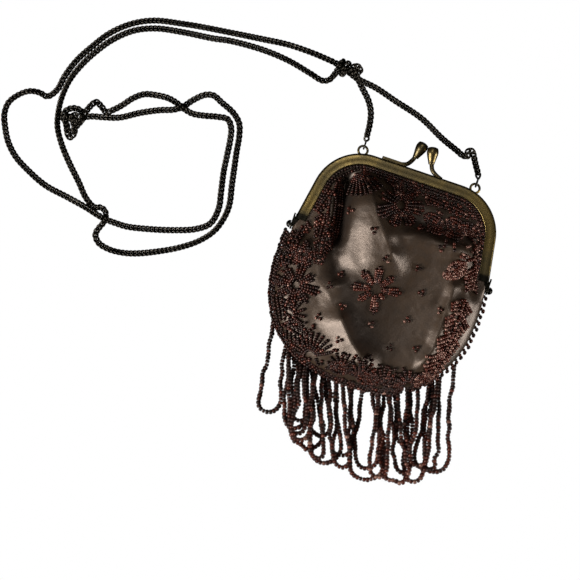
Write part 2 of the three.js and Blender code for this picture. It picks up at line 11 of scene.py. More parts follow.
import bmesh
import bpy
import numpy as np
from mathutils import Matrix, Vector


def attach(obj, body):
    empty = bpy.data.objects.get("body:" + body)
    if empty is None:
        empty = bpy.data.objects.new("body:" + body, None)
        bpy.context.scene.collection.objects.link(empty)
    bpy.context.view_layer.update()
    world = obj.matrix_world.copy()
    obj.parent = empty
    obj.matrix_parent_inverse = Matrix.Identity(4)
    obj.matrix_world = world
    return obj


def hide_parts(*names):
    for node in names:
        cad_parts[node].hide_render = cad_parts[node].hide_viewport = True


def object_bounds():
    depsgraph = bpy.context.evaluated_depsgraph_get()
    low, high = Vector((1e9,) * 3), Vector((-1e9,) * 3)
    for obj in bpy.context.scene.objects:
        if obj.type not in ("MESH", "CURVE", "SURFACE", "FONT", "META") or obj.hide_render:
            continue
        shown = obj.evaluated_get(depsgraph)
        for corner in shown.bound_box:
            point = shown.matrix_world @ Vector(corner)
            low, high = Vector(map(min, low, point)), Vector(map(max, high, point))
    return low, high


RANDOM_SEED = 11
MM = 0.001
FULL_TURN = 2 * math.pi
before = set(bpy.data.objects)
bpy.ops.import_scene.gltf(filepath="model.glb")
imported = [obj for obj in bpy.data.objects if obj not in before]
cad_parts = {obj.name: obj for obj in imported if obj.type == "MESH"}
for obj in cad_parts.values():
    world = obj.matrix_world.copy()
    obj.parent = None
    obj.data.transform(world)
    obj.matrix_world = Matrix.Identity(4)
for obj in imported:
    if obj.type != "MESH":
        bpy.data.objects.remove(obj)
cad_low, cad_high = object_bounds()
rng = np.random.default_rng(RANDOM_SEED)
print("nodes:", ", ".join(sorted(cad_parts)))

# %% [markdown]
# ## Small tools
# Cameras, lamps and meshes all enter the scene the same way, and every shader is a few named numbers.
# Long tables are written as rows of values under one line of column names, which keeps them readable.

# %% Scene tools


def put_in_scene(name, data):
    """A new object that holds the data."""
    thing = bpy.data.objects.new(name, data)
    bpy.context.collection.objects.link(thing)
    return thing


def set_inputs(node, values):
    """Numbers and colours set on a node's own sockets, by name."""
    for label, value in values.items():
        node.inputs[label].default_value = value


def new_material(name):
    """A material, its node tree and its shader."""
    material = bpy.data.materials.new(name)
    material.use_nodes = True
    return material, material.node_tree, material.node_tree.nodes["Principled BSDF"]


def table(columns, *rows):
    """Rows of values as dictionaries with the columns' names."""
    names = columns.split()
    return [dict(zip(names, row)) for row in rows]


# %% [markdown]
# ## The camera
# The purse was seen from straight above, turned a little clockwise. A camera that looks straight down
# could be turned, or the purse could be: the purse keeps its frame, so the camera turns the other way.
# A long lens from well above keeps the raised pouch from growing in the picture.

# %% Camera
VIEW_TURN = math.radians(18.7)
VIEW_CENTRE = (-41.7, -17.3)
VIEW_WIDTH = 290.0
CAMERA_HEIGHT = 1500.0
SENSOR_WIDTH = 36.0

camera_data = bpy.data.cameras.new("camera")
camera_data.sensor_width = SENSOR_WIDTH
camera_data.lens = SENSOR_WIDTH * CAMERA_HEIGHT / VIEW_WIDTH
camera = put_in_scene("camera", camera_data)
camera.location = (VIEW_CENTRE[0] * MM, VIEW_CENTRE[1] * MM, CAMERA_HEIGHT * MM)
camera.rotation_euler = (0, 0, VIEW_TURN)
bpy.context.scene.camera = camera
print("lens", round(camera_data.lens, 1), "mm")

# %% [markdown]
# ## Floor and light
# Satin, glass and brass show mostly what they mirror, so the light decides how they look.
# A broad soft lamp low on the left draws the bright crests, a weaker one on the right lights the far border,
# a small one overhead lifts the brass, and a pale sky fills the rest. The floor is plain white.

# %% Floor
FLOOR_HALF = 2500.0
WHITE = (1, 1, 1, 1)
BLACK = (0, 0, 0, 1)
floor_mesh = bpy.data.meshes.new("floor")
floor_sides = [(-1, -1), (1, -1), (1, 1), (-1, 1)]
floor_corners = [(x * FLOOR_HALF * MM, y * FLOOR_HALF * MM, cad_low.z) for x, y in floor_sides]
floor_mesh.from_pydata(floor_corners, [], [(0, 1, 2, 3)])
floor = put_in_scene("floor", floor_mesh)
floor_paint, _, floor_shader = new_material("white floor")
set_inputs(floor_shader, {"Base Color": BLACK, "Specular IOR Level": 0})
set_inputs(floor_shader, {"Emission Color": WHITE, "Emission Strength": 1.0})
floor.visible_glossy = False
floor.visible_diffuse = False
floor_mesh.materials.append(floor_paint)

# %% Light
LAMPS = table(
    "name bearing height size power",
    ("key", 204, 28, 0.6, 17.0),
    ("right", -25, 8, 0.5, 9.0),
    ("top", 100, 70, 0.35, 1.2),
)
LAMP_DISTANCE = 1.1
SKY_OVERHEAD = 0.085
SKY_LOW = 0.01
SKY_LOW_TO = 0.1
SKY_COLOUR = (1.0, 0.985, 0.965, 1)


def lamp(name, bearing, height, size, power):
    """A square soft lamp that looks at the purse. The bearing is seen in the picture, from its right."""
    turn = math.radians(bearing) + VIEW_TURN
    rise = math.radians(height)
    light = bpy.data.lights.new(name, "AREA")
    light.size = size
    light.energy = power
    holder = put_in_scene(name, light)
    level = math.cos(rise) * LAMP_DISTANCE
    holder.location = (level * math.cos(turn), level * math.sin(turn), math.sin(rise) * LAMP_DISTANCE)
    holder.rotation_euler = (math.pi / 2 - rise, 0, turn + math.pi / 2)


for row in LAMPS:
    lamp(**row)
sky = bpy.data.worlds.new("sky")
sky.use_nodes = True
sky_tree = sky.node_tree
background = sky_tree.nodes["Background"]
direction = sky_tree.nodes.new("ShaderNodeTexCoord")
split = sky_tree.nodes.new("ShaderNodeSeparateXYZ")
strength = sky_tree.nodes.new("ShaderNodeMapRange")
strength.interpolation_type = "SMOOTHSTEP"
set_inputs(strength, {"From Min": SKY_LOW_TO, "To Min": SKY_LOW, "To Max": SKY_OVERHEAD})
sky_tree.links.new(direction.outputs["Generated"], split.inputs["Vector"])
sky_tree.links.new(split.outputs["Z"], strength.inputs["Value"])
sky_tree.links.new(strength.outputs["Result"], background.inputs["Strength"])
set_inputs(background, {"Color": SKY_COLOUR})
bpy.context.scene.world = sky
bpy.context.scene.view_settings.view_transform = "Standard"
print("lamps:", len(LAMPS))

# %% [markdown]
# ## Shared finishes
# Tarnish is on the frame, the rings and the chain, and a woven thread is on both panels.
# Each could be repeated in every material, but a node group is built once and placed with its own values.

# %% Node helpers
NOISE_ROUGHNESS = 0.55


def new_group(name, inputs, outputs):
    """A shader group with named sockets, and its two end nodes."""
    group = bpy.data.node_groups.new(name, "ShaderNodeTree")
    for label, kind, value in inputs:
        group.interface.new_socket(label, in_out="INPUT", socket_type=kind).default_value = value
    for label, kind in outputs:
        group.interface.new_socket(label, in_out="OUTPUT", socket_type=kind)
    return group, group.nodes.new("NodeGroupInput"), group.nodes.new("NodeGroupOutput")


def noise(tree, coordinates, scale, detail):
    """A noise texture's value."""
    node = tree.nodes.new("ShaderNodeTexNoise")
    set_inputs(node, {"Scale": scale, "Detail": detail, "Roughness": NOISE_ROUGHNESS})
    tree.links.new(coordinates, node.inputs["Vector"])
    return node.outputs["Fac"]


def reshaped(tree, value, low, high, to_low=0.0, to_high=1.0):
    """A value stretched from one range to another."""
    node = tree.nodes.new("ShaderNodeMapRange")
    node.interpolation_type = "SMOOTHSTEP"
    set_inputs(node, {"From Min": low, "From Max": high, "To Min": to_low, "To Max": to_high})
    tree.links.new(value, node.inputs["Value"])
    return node.outputs["Result"]


def mixed(tree, share, first, second):
    """Two colours mixed by a share: each is a colour or a socket."""
    node = tree.nodes.new("ShaderNodeMix")
    node.data_type = "RGBA"
    tree.links.new(share, node.inputs["Factor"])
    for socket, colour in ((node.inputs[6], first), (node.inputs[7], second)):
        if isinstance(colour, tuple):
            socket.default_value = (*colour, 1)
        else:
            tree.links.new(colour, socket)
    return node.outputs[2]


def calculated(tree, operation, first, second):
    """A math node: each side is a number or a socket."""
    node = tree.nodes.new("ShaderNodeMath")
    node.operation = operation
    for socket, value in zip(node.inputs, (first, second)):
        if isinstance(value, (int, float)):
            socket.default_value = value
        else:
            tree.links.new(value, socket)
    return node.outputs["Value"]


def object_space(tree, stretch=(1, 1, 1)):
    """Coordinates in metres along the purse's own axes, stretched."""
    place = tree.nodes.new("ShaderNodeTexCoord")
    scale = tree.nodes.new("ShaderNodeMapping")
    set_inputs(scale, {"Scale": stretch})
    tree.links.new(place.outputs["Object"], scale.inputs["Vector"])
    return scale.outputs["Vector"]


# %% Tarnish group
TARNISH_PATCH = {"scale": 130.0, "detail": 5.0}
TARNISH_SPECK = {"scale": 900.0, "detail": 4.0}
PATCH_REACH = (0.35, 0.7, -0.16, 0.16)
SPECK_REACH = (0.3, 0.7, -0.08, 0.08)
BRIGHT_REACH = (0.05, 0.95)
GRIME_REACH = (-0.5, 0.05, 1.0, 0.0)
METAL_ROUGHNESS = (0.0, 1.0, 0.34, 0.22)
GRIME = (0.02, 0.018, 0.013)
tarnish, tarnish_in, tarnish_out = new_group(
    "tarnish",
    [
        ("Bright", "NodeSocketColor", (0.5, 0.35, 0.12, 1)),
        ("Dark", "NodeSocketColor", (0.1, 0.08, 0.04, 1)),
        ("Wear", "NodeSocketFloat", 0.3),
    ],
    [("Color", "NodeSocketColor"), ("Roughness", "NodeSocketFloat"), ("Height", "NodeSocketFloat")],
)
patches = noise(tarnish, object_space(tarnish), **TARNISH_PATCH)
specks = noise(tarnish, object_space(tarnish), **TARNISH_SPECK)
patchy = reshaped(tarnish, patches, *PATCH_REACH)
speckled = reshaped(tarnish, specks, *SPECK_REACH)
worn = calculated(tarnish, "ADD", patchy, tarnish_in.outputs["Wear"])
worn = calculated(tarnish, "ADD", speckled, worn)
brightness = reshaped(tarnish, worn, *BRIGHT_REACH)
metal_colour = mixed(tarnish, brightness, tarnish_in.outputs["Dark"], tarnish_in.outputs["Bright"])
grime = reshaped(tarnish, tarnish_in.outputs["Wear"], *GRIME_REACH)
tarnish.links.new(mixed(tarnish, grime, metal_colour, GRIME), tarnish_out.inputs["Color"])
tarnish.links.new(reshaped(tarnish, brightness, *METAL_ROUGHNESS), tarnish_out.inputs["Roughness"])
tarnish.links.new(specks, tarnish_out.inputs["Height"])
print("group:", tarnish.name)

# %% Woven thread group
THREAD_PITCH = 0.28
THREAD_HEIGHT = 0.25
GRAIN_HEIGHT = 3.0
SLUB_STRETCH = (1, 0.12, 1)
SLUBS = {"scale": 1500.0, "detail": 3.0}
CLOUDS = {"scale": 260.0, "detail": 4.0}
GRAIN = {"scale": 800.0, "detail": 2.0}
STREAK_REACH = (0.45, 1.05)
WAVE_PERIOD = FULL_TURN / 20
woven, woven_in, woven_out = new_group(
    "woven thread",
    [("Slub", "NodeSocketFloat", 0.5)],
    [("Streak", "NodeSocketFloat"), ("Height", "NodeSocketFloat")],
)
streaks = noise(woven, object_space(woven, SLUB_STRETCH), **SLUBS)
clouds = noise(woven, object_space(woven), **CLOUDS)
wave = woven.nodes.new("ShaderNodeTexWave")
wave.bands_direction = "X"
set_inputs(wave, {"Scale": WAVE_PERIOD / (THREAD_PITCH * MM), "Distortion": 1.5})
woven.links.new(object_space(woven), wave.inputs["Vector"])
slubs = calculated(woven, "MULTIPLY", streaks, woven_in.outputs["Slub"])
streak = calculated(woven, "ADD", slubs, clouds)
woven.links.new(reshaped(woven, streak, *STREAK_REACH), woven_out.inputs["Streak"])
threads = calculated(woven, "MULTIPLY", wave.outputs["Fac"], THREAD_HEIGHT)
grain = calculated(woven, "MULTIPLY", noise(woven, object_space(woven), **GRAIN), GRAIN_HEIGHT)
relief = calculated(woven, "ADD", calculated(woven, "ADD", threads, streaks), grain)
woven.links.new(relief, woven_out.inputs["Height"])
print("group:", woven.name)

# %% [markdown]
# ## Materials
# The brass is old: dark olive where it is left alone, gold where hands and edges have rubbed it.
# The chain is plated dark bronze. The satin is taupe with a strong sheen, and the beads are garnet glass,
# some nearly black and a few painted pale pink as glints, which are painted highlights. A value painted on
# the points says how worn or how red each place is, and some of these values are painted light: shade deep in
# the satin's folds, beads painted brighter to the right where the light falls, and the glints.

# %% Metal materials
METAL_BUMP = {"strength": 0.2, "distance": 0.05}


def painted_value(tree, name):
    """A value that was painted on a mesh's points."""
    node = tree.nodes.new("ShaderNodeAttribute")
    node.attribute_name = name
    return node.outputs["Fac"]


def add_bump(tree, shader, height, strength, distance):
    """A bump node between a height and the shader's normal."""
    bump = tree.nodes.new("ShaderNodeBump")
    set_inputs(bump, {"Strength": strength, "Distance": distance * MM})
    tree.links.new(height, bump.inputs["Height"])
    tree.links.new(bump.outputs["Normal"], shader.inputs["Normal"])


def placed_group(tree, group):
    """A node that holds a shader group."""
    node = tree.nodes.new("ShaderNodeGroup")
    node.node_tree = group
    return node


def metal(name, bright, dark, wear=None):
    """A tarnished metal. Where no wear is given, it is painted on the piece."""
    material, tree, shader = new_material(name)
    group = placed_group(tree, tarnish)
    set_inputs(group, {"Bright": (*bright, 1), "Dark": (*dark, 1)})
    if wear is None:
        tree.links.new(painted_value(tree, "wear"), group.inputs["Wear"])
    else:
        set_inputs(group, {"Wear": wear})
    tree.links.new(group.outputs["Color"], shader.inputs["Base Color"])
    tree.links.new(group.outputs["Roughness"], shader.inputs["Roughness"])
    set_inputs(shader, {"Metallic": 1.0})
    add_bump(tree, shader, group.outputs["Height"], **METAL_BUMP)
    return material


antique_brass = metal("antique brass", (0.42, 0.29, 0.09), (0.13, 0.1, 0.048))
dark_bronze = metal("dark bronze", (0.3, 0.27, 0.22), (0.055, 0.048, 0.038), wear=0.3)
chain_bronze = metal("chain bronze", (0.12, 0.105, 0.085), (0.022, 0.019, 0.015), wear=0.25)
blackened = metal("blackened rivet", (0.1, 0.095, 0.085), (0.018, 0.017, 0.015), wear=0.2)
print("metals:", ", ".join(m.name for m in (antique_brass, dark_bronze, chain_bronze, blackened)))

# %% Satin and bead materials
SATIN_LIGHT = (0.045, 0.026, 0.014)
SATIN_DARK = (0.023, 0.013, 0.007)
# The dark brown of the painted shade in the satin's folds.
FOLD_SHADE_COLOUR = (0.012, 0.008, 0.006)
SATIN_ROUGHNESS = (0.0, 1.0, 0.47, 0.39)
SATIN_BUMP = {"strength": 0.3, "distance": 0.09}
BEAD_ROUGHNESS = (0.1, 0.8, 0.5, 0.14)
# The palest stop is where the painted glints land: a painted highlight.
BEAD_COLOURS = [
    (0.0, (0.004, 0.0025, 0.002)),
    (0.4, (0.03, 0.008, 0.005)),
    (0.8, (0.1, 0.024, 0.014)),
    (1.0, (0.26, 0.14, 0.105)),
]


def satin(name, slub):
    """Taupe satin with its thread and its sheen, darker where shade is painted deep in the folds."""
    material, tree, shader = new_material(name)
    group = placed_group(tree, woven)
    set_inputs(group, {"Slub": slub})
    streak = group.outputs["Streak"]
    clean = mixed(tree, streak, SATIN_DARK, SATIN_LIGHT)
    # Painted shade: the satin's colour turns dark brown where shade is painted in the folds.
    tree.links.new(mixed(tree, painted_value(tree, "fold_shade"), clean, FOLD_SHADE_COLOUR), shader.inputs["Base Color"])
    tree.links.new(reshaped(tree, streak, *SATIN_ROUGHNESS), shader.inputs["Roughness"])
    set_inputs(shader, {"Specular IOR Level": 1.0, "Specular Tint": (1.0, 0.8, 0.66, 1)})
    set_inputs(shader, {"Sheen Weight": 0.06, "Sheen Roughness": 0.35, "Sheen Tint": (0.9, 0.8, 0.74, 1)})
    add_bump(tree, shader, group.outputs["Height"], **SATIN_BUMP)
    return material


def bead_glass(name):
    """Glossy glass whose redness is painted bead by bead, with painted light and painted glints in it: the
    redder, the glossier.
    """
    material, tree, shader = new_material(name)
    colours = tree.nodes.new("ShaderNodeValToRGB")
    stops = colours.color_ramp.elements
    while len(stops) < len(BEAD_COLOURS):
        stops.new(0.5)
    for stop, (position, colour) in zip(stops, BEAD_COLOURS):
        stop.position = position
        stop.color = (*colour, 1)
    gloss = reshaped(tree, painted_value(tree, "tint"), *BEAD_ROUGHNESS)
    tree.links.new(painted_value(tree, "tint"), colours.inputs["Fac"])
    tree.links.new(colours.outputs["Color"], shader.inputs["Base Color"])
    tree.links.new(gloss, shader.inputs["Roughness"])
    set_inputs(shader, {"Metallic": 0.3, "Specular IOR Level": 0.5, "Specular Tint": (1.0, 0.62, 0.52, 1)})
    set_inputs(shader, {"Coat Weight": 0.15, "Coat Roughness": 0.1})
    return material


front_satin = satin("taupe satin", 0.5)
back_satin = satin("taupe satin back", 0.3)
garnet = bead_glass("garnet glass")
print("cloth and glass:", front_satin.name, back_satin.name, garnet.name)

# %% [markdown]
# ## From arrays to pieces
# Beads and links come by the hundred, so copying objects would be slow and hard to keep together.
# Their corners are worked out as arrays instead, and each string, border or chain becomes one joined mesh.

# %% Shapes from arrays
UP = np.array([0.0, 0.0, 1.0])
NEARLY_UP = UP + 0.001
TINY = 1e-9


def unit(vectors):
    """The vectors at length 1."""
    return vectors / np.maximum(np.linalg.norm(vectors, axis=-1, keepdims=True), TINY)


def ring_angles(count):
    """Angles all round, as many as the count."""
    return np.linspace(0, FULL_TURN, count, endpoint=False)


def powered(value, power):
    """A value raised to a power, with its sign kept."""
    return np.sign(value) * np.abs(value) ** power


def axes_from(along, upwards):
    """For each direction: itself, a side square to it and to what is upwards, and the third axis."""
    side = unit(np.cross(upwards, along))
    return np.stack([along, side, np.cross(along, side)], axis=1)


def joined(shapes):
    """Several shapes, each a pair of points and face arrays, as one."""
    points = []
    blocks = []
    start = 0
    for shape_points, shape_blocks in shapes:
        points.append(shape_points)
        blocks.extend(block + start for block in shape_blocks)
        start += len(shape_points)
    return np.vstack(points), blocks


def grid_quads(rows, columns, wrap_rows=False):
    """Quads between neighbouring rows of a grid of points. Each row is a ring."""
    first_rows = np.arange(rows if wrap_rows else rows - 1)
    row, column = np.meshgrid(first_rows, np.arange(columns), indexing="ij")
    next_row = (row + 1) % rows
    next_column = (column + 1) % columns
    corners = [(row, column), (row, next_column), (next_row, next_column), (next_row, column)]
    return np.stack([r * columns + c for r, c in corners], axis=-1).reshape(-1, 4)


def capped(rings):
    """A closed shape through rings of points, with a cap at either end."""
    count, sides = rings.shape[:2]
    last = (count - 1) * sides
    caps = [np.arange(sides)[None], np.arange(last, last + sides)[None]]
    return rings.reshape(-1, 3), [grid_quads(count, sides), *caps]


def copies(shape, places, axes):
    """The shape once at each place, with its own X, Y and Z along that place's three axes."""
    points, blocks = shape
    spread = np.einsum("mki,nk->mni", axes, points) + places[:, None, :]
    starts = np.arange(len(places))[:, None, None] * len(points)
    return spread.reshape(-1, 3), [(block[None] + starts).reshape(-1, block.shape[1]) for block in blocks]


def make_piece(name, shape, material, stands_for=(), sharp_from=None):
    """A smooth mesh piece that rides on the purse and may stand for nodes of the frame."""
    points, blocks = shape
    mesh = bpy.data.meshes.new(name)
    mesh.from_pydata((points * MM).tolist(), [], [face for block in blocks for face in block.tolist()])
    work = bmesh.new()
    work.from_mesh(mesh)
    bmesh.ops.recalc_face_normals(work, faces=work.faces)
    work.to_mesh(mesh)
    work.free()
    mesh.shade_smooth()
    if sharp_from is not None:
        mesh.set_sharp_from_angle(angle=math.radians(sharp_from))
    mesh.materials.append(material)
    piece = put_in_scene(name, mesh)
    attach(piece, "root")
    if stands_for:
        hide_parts(*stands_for)
    triangles = sum(len(face.vertices) - 2 for face in mesh.polygons)
    print(name, len(mesh.vertices), "points", triangles, "triangles")
    return piece


def paint_points(piece, name, values):
    """One value for each point of a piece."""
    layer = piece.data.attributes.new(name, "FLOAT", "POINT")
    layer.data.foreach_set("value", np.asarray(values, np.float32))


# %% Curves and tubes
TURNED_SPACING = 0.05
TURNED_PIECES = 12
ASLANT = (0.3, 0.1, 1.0)
NEAR_POLE = 1.5


def run_along(path):
    """How far along a path each of its points is."""
    return np.concatenate([[0], np.cumsum(np.linalg.norm(np.diff(path, axis=0), axis=1))])


def at_marks(path, run, marks):
    """The path's points at some marks along it."""
    return np.column_stack([np.interp(marks, run, column) for column in path.T])


def evenly(path, spacing):
    """A path's points, made even: about one in each spacing."""
    run = run_along(path)
    return at_marks(path, run, np.linspace(0, run[-1], max(2, round(run[-1] / spacing) + 1)))


def curve_through(knots, spacing, pieces=24):
    """A smooth even path through knots: a Catmull-Rom curve that doesn't overshoot where they are close."""
    knots = np.asarray(knots, float)
    ends = np.vstack([2 * knots[0] - knots[1], knots, 2 * knots[-1] - knots[-2]])
    path = []
    for p0, p1, p2, p3 in zip(ends, ends[1:], ends[2:], ends[3:]):
        t1, t2, t3 = np.cumsum([math.sqrt(np.linalg.norm(b - a)) for a, b in ((p0, p1), (p1, p2), (p2, p3))])
        t = np.linspace(t1, t2, pieces, endpoint=False)[:, None]
        a1 = (t1 - t) / t1 * p0 + t / t1 * p1
        a2 = (t2 - t) / (t2 - t1) * p1 + (t - t1) / (t2 - t1) * p2
        a3 = (t3 - t) / (t3 - t2) * p2 + (t - t2) / (t3 - t2) * p3
        b1 = (t2 - t) / t2 * a1 + t / t2 * a2
        b2 = (t3 - t) / (t3 - t1) * a2 + (t - t1) / (t3 - t1) * a3
        path.append((t2 - t) / (t2 - t1) * b1 + (t - t1) / (t2 - t1) * b2)
    return evenly(np.vstack([*path, knots[-1:]]), spacing)


def tube(path, radius, sides):
    """A round tube along a path, closed at its ends."""
    axes = axes_from(unit(np.gradient(path, axis=0)), UP)
    angles = ring_angles(sides)[None, :, None]
    around = np.cos(angles) * axes[:, None, 1] + np.sin(angles) * axes[:, None, 2]
    return capped(path[:, None] + radius * around)


def closed_wire(path, radius, sides):
    """A round wire along a path that ends where it starts."""
    along = unit(np.roll(path, -1, 0) - np.roll(path, 1, 0))
    outwards = path - path.mean(0)
    outwards = unit(outwards - (outwards * along).sum(1, keepdims=True) * along)
    third = np.cross(along, outwards)
    angles = ring_angles(sides)[None, :, None]
    points = path[:, None] + radius * (np.cos(angles) * outwards[:, None] + np.sin(angles) * third[:, None])
    return points.reshape(-1, 3), [grid_quads(len(path), sides, wrap_rows=True)]


def wire_ring(centre, radius, wire, plane, steps=40, sides=10):
    """A ring of wire in the plane of two directions."""
    turn = ring_angles(steps)[:, None]
    first, second = np.asarray(plane)
    path = np.asarray(centre) + radius * (np.cos(turn) * first + np.sin(turn) * second)
    return closed_wire(path, wire, sides)


def turned(start, end, profile, sides=28):
    """A form turned about the line from start to end: its profile is pairs of radius and share of the way."""
    start, end = np.asarray(start, float), np.asarray(end, float)
    rounded = curve_through(profile, TURNED_SPACING, TURNED_PIECES)
    path = start + rounded[:, 1:] * (end - start)
    straight = unit(end - start)
    side = unit(np.cross(straight, ASLANT))
    third = np.cross(straight, side)
    angles = ring_angles(sides)[:, None]
    around = np.cos(angles) * side + np.sin(angles) * third
    return capped(path[:, None] + rounded[:, :1, None] * around[None])


def rounded_block(low, high, softness=0.22, steps=24):
    """A block with soft edges."""
    low, high = np.asarray(low, float), np.asarray(high, float)
    turn = ring_angles(steps)
    rise = np.linspace(-NEAR_POLE, NEAR_POLE, steps // 2)[:, None]
    level = powered(np.cos(rise), softness)
    across = [level * powered(np.cos(turn), softness), level * powered(np.sin(turn), softness)]
    rings = np.stack([*across, powered(np.sin(rise), softness) * np.ones(steps)], axis=-1)
    return capped((low + high) / 2 + rings * (high - low) / 2)


# %% [markdown]
# ## The brass frame
# Two brass channels lie one on the other, pressed from sheet: a flat face, a rounded outer edge and a small
# lip along the cloth. A profile swept along the outline gives all of that, and the outline is only straight
# bars and two arcs, so its points are worked out from the frame's few sizes. The stems, knobs and loops are
# soldered on, and are joined into the mesh of their half.

# %% Frame sizes
HINGE_Y = 14.0
HINGE_HALF_WIDTH = 51.5
FRAME_HEIGHT = 45.4
CORNER_RADIUS = 24.8
LEG_SPLAY = math.radians(9.7)
BAND = 5.5
PLATE = 0.8
HALF_DEPTH = 4.6
FRAME_DEPTH = 2 * HALF_DEPTH + 0.4
MID_Z = FRAME_DEPTH / 2
LEG_END_Y = HINGE_Y + 3.5
TOP_Y = HINGE_Y + FRAME_HEIGHT


def frame_line(inset, bar_steps=16, arc_steps=36, leg_steps=10):
    """The frame's outline moved inwards, from the left leg's end over the top to the right leg's end."""
    centre_y = TOP_Y - CORNER_RADIUS
    lean = math.tan(LEG_SPLAY)
    centre_x = HINGE_HALF_WIDTH - CORNER_RADIUS / math.cos(LEG_SPLAY) - lean * (centre_y - HINGE_Y)
    end_x = HINGE_HALF_WIDTH - inset / math.cos(LEG_SPLAY) - lean * (LEG_END_Y - HINGE_Y)
    bar_x = np.linspace(0, centre_x, bar_steps, endpoint=False)
    bar = np.column_stack([bar_x, np.full(bar_steps, TOP_Y - inset)])
    turn = np.linspace(math.pi / 2, LEG_SPLAY, arc_steps)
    round_arc = np.column_stack([np.cos(turn), np.sin(turn)])
    arc = np.array([centre_x, centre_y]) + (CORNER_RADIUS - inset) * round_arc
    leg = np.linspace(arc[-1], (end_x, LEG_END_Y), leg_steps)[1:]
    right = np.vstack([bar, arc, leg])
    left = right[:0:-1] * (-1, 1)
    return np.vstack([left, right])


def rounded_corner(inset, rise, radius, start, end, steps=5):
    """Points of a quarter round about a centre, as pairs of inset and rise."""
    turn = np.radians(np.linspace(start, end, steps))
    return [(inset - radius * math.cos(a), rise - radius * math.sin(a)) for a in turn]


# %% Frame halves
EDGE_ROUND = 1.2
LIP_ROUND = 0.38
CHANNEL = [
    (0.0, HALF_DEPTH),
    *rounded_corner(EDGE_ROUND, EDGE_ROUND, EDGE_ROUND, 0, 90),
    (BAND * 0.55, 0.05),
    (BAND - 0.95, 0.12),
    *rounded_corner(BAND - LIP_ROUND, LIP_ROUND, LIP_ROUND, 60, 180),
    (BAND, PLATE),
    (PLATE, PLATE),
    (PLATE, HALF_DEPTH - PLATE),
    (BAND, HALF_DEPTH - PLATE),
    (BAND, HALF_DEPTH),
]
GOLD_PLACES = table(
    "x y reach amount",
    (-33.0, 55.5, 9.0, 0.15),
    (-47.0, 26.5, 4.0, 0.6),
    (36.0, 55.0, 8.0, 0.5),
    (46.0, 41.0, 8.0, 0.45),
)
WEAR_ALL_OVER = 0.26
DARK_TIPS = {"below": 22.5, "fade": 3, "amount": 0.9}
DARK_STEMS = {"above": TOP_Y + 0.6, "height": 6, "amount": 0.3}


def channel(flipped):
    """The swept channel of one half."""
    insets, rises = np.array(CHANNEL).T
    if flipped:
        rises = FRAME_DEPTH - rises
    lines = np.stack([frame_line(inset) for inset in insets], axis=1)
    heights = np.broadcast_to(rises[None, :, None], (*lines.shape[:2], 1))
    return capped(np.concatenate([lines, heights], axis=2))


def brass_wear(points):
    """How worn the brass is: gold where it is handled, dark at the tips of the legs and on the stems."""
    x, y, _ = points.T
    wear = np.full(len(points), WEAR_ALL_OVER)
    for place in GOLD_PLACES:
        away = np.hypot(x - place["x"], y - place["y"])
        wear += place["amount"] * np.exp(-((away / place["reach"]) ** 2))
    wear -= DARK_TIPS["amount"] * np.clip((DARK_TIPS["below"] - y) / DARK_TIPS["fade"], 0, 1)
    stems_from = DARK_STEMS["above"]
    wear -= DARK_STEMS["amount"] * ((y > stems_from) & (y < stems_from + DARK_STEMS["height"]))
    return np.clip(wear, -1, 1)


# %% Clasp, loops and lugs
GAP = 0.3
LUG_RADIUS = 2.4
LUG_THICKNESS = 0.8
LUG_EDGE = 0.2
LUG_MIDDLE = 0.2
LUG_PROFILE = [
    (LUG_MIDDLE, 0.0),
    (LUG_RADIUS - LUG_EDGE, 0.0),
    (LUG_RADIUS, 0.3),
    (LUG_RADIUS, 0.7),
    (LUG_RADIUS - LUG_EDGE, 1.0),
    (LUG_MIDDLE, 1.0),
]
BACK_LUG_X = 50.4
FRONT_LUG_X = 51.5
TONGUE_LENGTH = 6.0
WEB_X = (47.6, 51.6)
WEB_LOW = (14.2, 5.2)
WEB_HIGH = (18.4, 7.0)
STEM_RADIUS = 1.1
STEM_SIDES = 14
STEM_SPACING = 0.4
STRIP = {"start": -19.3, "end": -7.0, "thickness": 1.6, "depth": 3.0}
STRIP_SOFTNESS = 0.12
BACK_STEM_Z = 2.4
BACK_STEM = [(-9, 60, 2.4), (-6.6, 60.9, 2.6), (-4.6, 63.6, 3.2), (-3.6, 66.4, 3.6)]
FRONT_STEM = [(12.0, 58.8, 7.3), (8.8, 60.1, 7.2), (6.3, 61.9, 6.8), (4.9, 64.9, 6.2)]
BACK_KNOB = {"start": (-3.7, 65.2, 3.6), "end": (-1.6, 73.7, 4.4)}
FRONT_KNOB = {"start": (4.9, 64.4, 6.2), "end": (3.1, 73.1, 5.8)}
KNOB_PROFILE = [
    (0.9, 0.0), (1.5, 0.02), (1.75, 0.14), (2.55, 0.45), (2.95, 0.68), (2.7, 0.87), (1.6, 0.97), (0.1, 1.0),
]
LOOP_X = 29.5
LOOP_Y = 60.3
LOOP_RADIUS = 2.3
LOOP_WIRE = 0.6
LOOP_Z = 2.6
LEVEL = ((1, 0, 0), (0, 1, 0))
UPRIGHT = ((0, 1, 0), (0, 0, 1))
SIDES = (-1, 1)
BRASS_SHARP = 42


def on_hinge(x):
    """A point of the hinge's axis."""
    return (x, HINGE_Y, MID_Z)


def lug(x, low, high):
    """One hinge lug with the tongue that carries it: low and high bound the tongue's height."""
    half = LUG_THICKNESS / 2
    disc = turned(on_hinge(x - half), on_hinge(x + half), LUG_PROFILE)
    tongue = rounded_block((x - half, HINGE_Y, low), (x + half, HINGE_Y + TONGUE_LENGTH, high))
    return [disc, tongue]


def web(side):
    """The small block that closes the end of a leg."""
    return rounded_block(*sorted([(side * WEB_X[0], *WEB_LOW), (side * WEB_X[1], *WEB_HIGH)]))


